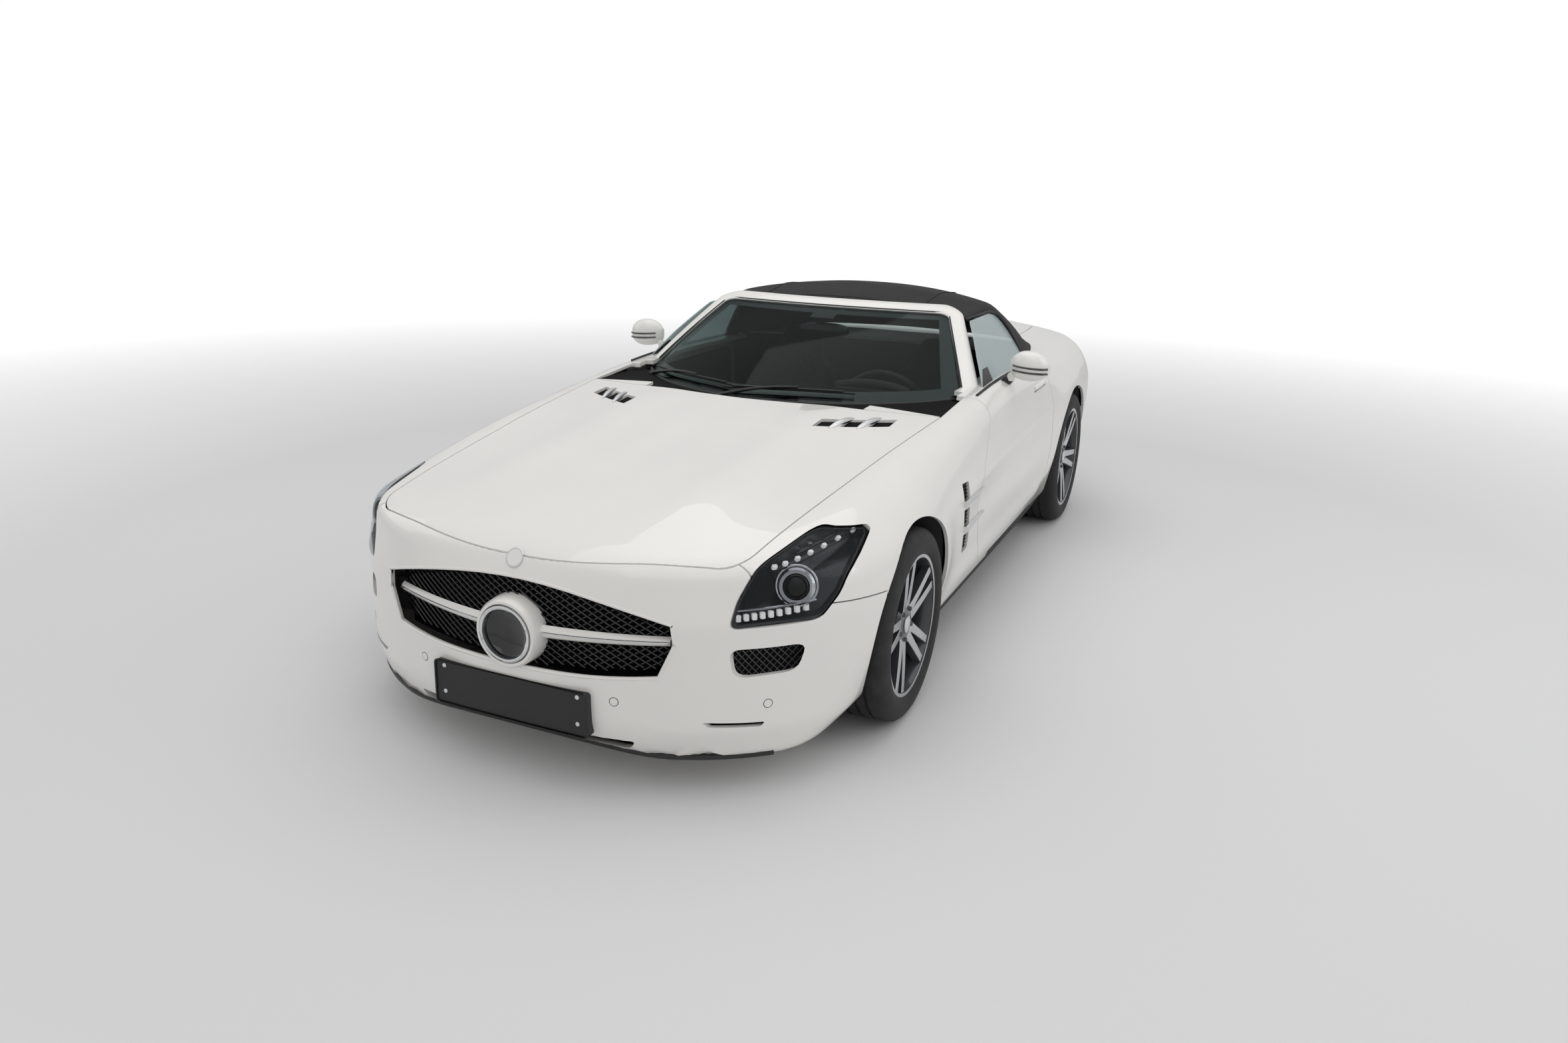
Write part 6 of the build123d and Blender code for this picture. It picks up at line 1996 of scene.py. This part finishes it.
FLOOR_HALF = 60.0
AMBIENT = 0.62
# lamps: name, place, aim, power in watts, size
STUDIO_LAMPS = (
    ("Key", (1.5, -4.5, 5.5), (0, -0.8, 0.5), 60, 6.0),
    ("Fill left", (6.0, 0.5, 3.6), (0, 0, 0.6), 50, 4.0),
    ("Fill right", (-6.0, -1.5, 3.6), (0, 0, 0.6), 25, 4.0),
    ("Top", (0.0, 1.0, 6.5), (0, 0.3, 0.5), 110, 7.0),
)
# camera: place; azimuth, elevation and roll in degrees; focal length and shift in pixels of a picture that
# is PICTURE_WIDTH pixels wide
CAMERA_AT = (1.9938, -4.9286, 1.8285)
CAMERA_TURN = (25.452, 17.071, 1.126)
PICTURE_WIDTH = 2358
FOCAL_PIXELS = 1765.75
SHIFT_PIXELS = (69.7, -1.8)
SENSOR = 36.0


class ROADSTER_OT_stage(Piece):
    """Pale floor, soft studio lamps and the camera at the photograph's angle"""

    bl_idname = "roadster.stage"
    bl_label = "Stage, lamps and camera"

    def build(self, scene):
        corners = [(FLOOR_HALF * a, FLOOR_HALF * b, 0) for a, b in ((-1, -1), (1, -1), (1, 1), (-1, 1))]
        floor = make("Floor", corners, [(0, 1, 2, 3)], None, "Stage floor")
        for name, place, aim, power, width in STUDIO_LAMPS:
            lamp = bpy.data.lights.new(name, "AREA")
            lamp.energy = power
            lamp.size = width
            obj = bpy.data.objects.new(name, lamp)
            scene.collection.objects.link(obj)
            obj.location = place
            obj.rotation_euler = (Vector(aim) - Vector(place)).to_track_quat("-Z", "Y").to_euler()
        world = bpy.data.worlds.new("Studio")
        scene.world = world
        world.use_nodes = True
        nodes, links = world.node_tree.nodes, world.node_tree.links
        nodes.clear()
        out = nodes.new("ShaderNodeOutputWorld")
        mix = nodes.new("ShaderNodeMixShader")
        path = nodes.new("ShaderNodeLightPath")
        soft = nodes.new("ShaderNodeBackground")
        white = nodes.new("ShaderNodeBackground")
        for light, strength in ((soft, AMBIENT), (white, 1.0)):
            light.inputs["Color"].default_value = (1, 1, 1, 1)
            light.inputs["Strength"].default_value = strength
        links.new(path.outputs["Is Camera Ray"], mix.inputs[0])
        links.new(soft.outputs[0], mix.inputs[1])
        links.new(white.outputs[0], mix.inputs[2])
        links.new(mix.outputs[0], out.inputs["Surface"])
        data = bpy.data.cameras.new("Camera")
        data.sensor_width = SENSOR
        data.lens = FOCAL_PIXELS / PICTURE_WIDTH * SENSOR
        data.shift_x, data.shift_y = (shift / PICTURE_WIDTH for shift in SHIFT_PIXELS)
        camera = bpy.data.objects.new("Camera", data)
        scene.collection.objects.link(camera)
        az, el, roll = (math.radians(turn) for turn in CAMERA_TURN)
        back = Vector((math.sin(az) * math.cos(el), -math.cos(az) * math.cos(el), math.sin(el)))
        right = (-back).cross(Vector((0, 0, 1))).normalized()
        up = right.cross(-back)
        turned_right = right * math.cos(roll) + up * math.sin(roll)
        turned_up = up * math.cos(roll) - right * math.sin(roll)
        matrix = Matrix((turned_right, turned_up, back)).transposed().to_4x4()
        matrix.translation = CAMERA_AT
        camera.matrix_world = matrix
        scene.camera = camera
        scene.view_settings.view_transform = "Standard"


class ROADSTER_PT_panel(bpy.types.Panel):
    """Sizes, colours and pieces of the roadster"""

    bl_label = "Roadster"
    bl_idname = "ROADSTER_PT_panel"
    bl_space_type = "VIEW_3D"
    bl_region_type = "UI"
    bl_category = "Roadster"

    def draw(self, context):
        for title, settings in (
            ("Body", context.scene.roadster_body), ("Wheels", context.scene.roadster_wheel),
            ("Cabin", context.scene.roadster_cabin)
        ):
            box = self.layout.box()
            box.label(text=title)
            for name in settings.__annotations__:
                box.prop(settings, name)
        column = self.layout.column(align=True)
        for piece in PIECES:
            column.operator(piece.bl_idname)


PIECES = (
    ROADSTER_OT_hood, ROADSTER_OT_fenders, ROADSTER_OT_front_bumper, ROADSTER_OT_grille,
    ROADSTER_OT_headlamps, ROADSTER_OT_doors, ROADSTER_OT_rear, ROADSTER_OT_windscreen,
    ROADSTER_OT_side_windows, ROADSTER_OT_soft_top, ROADSTER_OT_cabin, ROADSTER_OT_wheels, ROADSTER_OT_rest,
    ROADSTER_OT_stage
)
CLASSES = (BodySettings, WheelSettings, CabinSettings, *PIECES, ROADSTER_PT_panel)


def register():
    """Adds the classes and settings to Blender."""
    for cls in CLASSES:
        bpy.utils.register_class(cls)
    bpy.types.Scene.roadster_body = PointerProperty(type=BodySettings)
    bpy.types.Scene.roadster_wheel = PointerProperty(type=WheelSettings)
    bpy.types.Scene.roadster_cabin = PointerProperty(type=CabinSettings)


def unregister():
    """Takes the classes and settings away again."""
    del bpy.types.Scene.roadster_body, bpy.types.Scene.roadster_wheel, bpy.types.Scene.roadster_cabin
    for cls in reversed(CLASSES):
        bpy.utils.unregister_class(cls)


def main():
    """Builds every piece."""
    register()
    make_looks(bpy.context.scene)
    bpy.ops.roadster.hood()
    bpy.ops.roadster.fenders()
    bpy.ops.roadster.front_bumper()
    bpy.ops.roadster.grille()
    bpy.ops.roadster.headlamps()
    bpy.ops.roadster.doors()
    bpy.ops.roadster.rear()
    bpy.ops.roadster.windscreen()
    bpy.ops.roadster.side_windows()
    bpy.ops.roadster.soft_top()
    bpy.ops.roadster.cabin()
    bpy.ops.roadster.wheels()
    bpy.ops.roadster.rest()
    bpy.ops.roadster.stage()


if __name__ == "__main__":
    main()
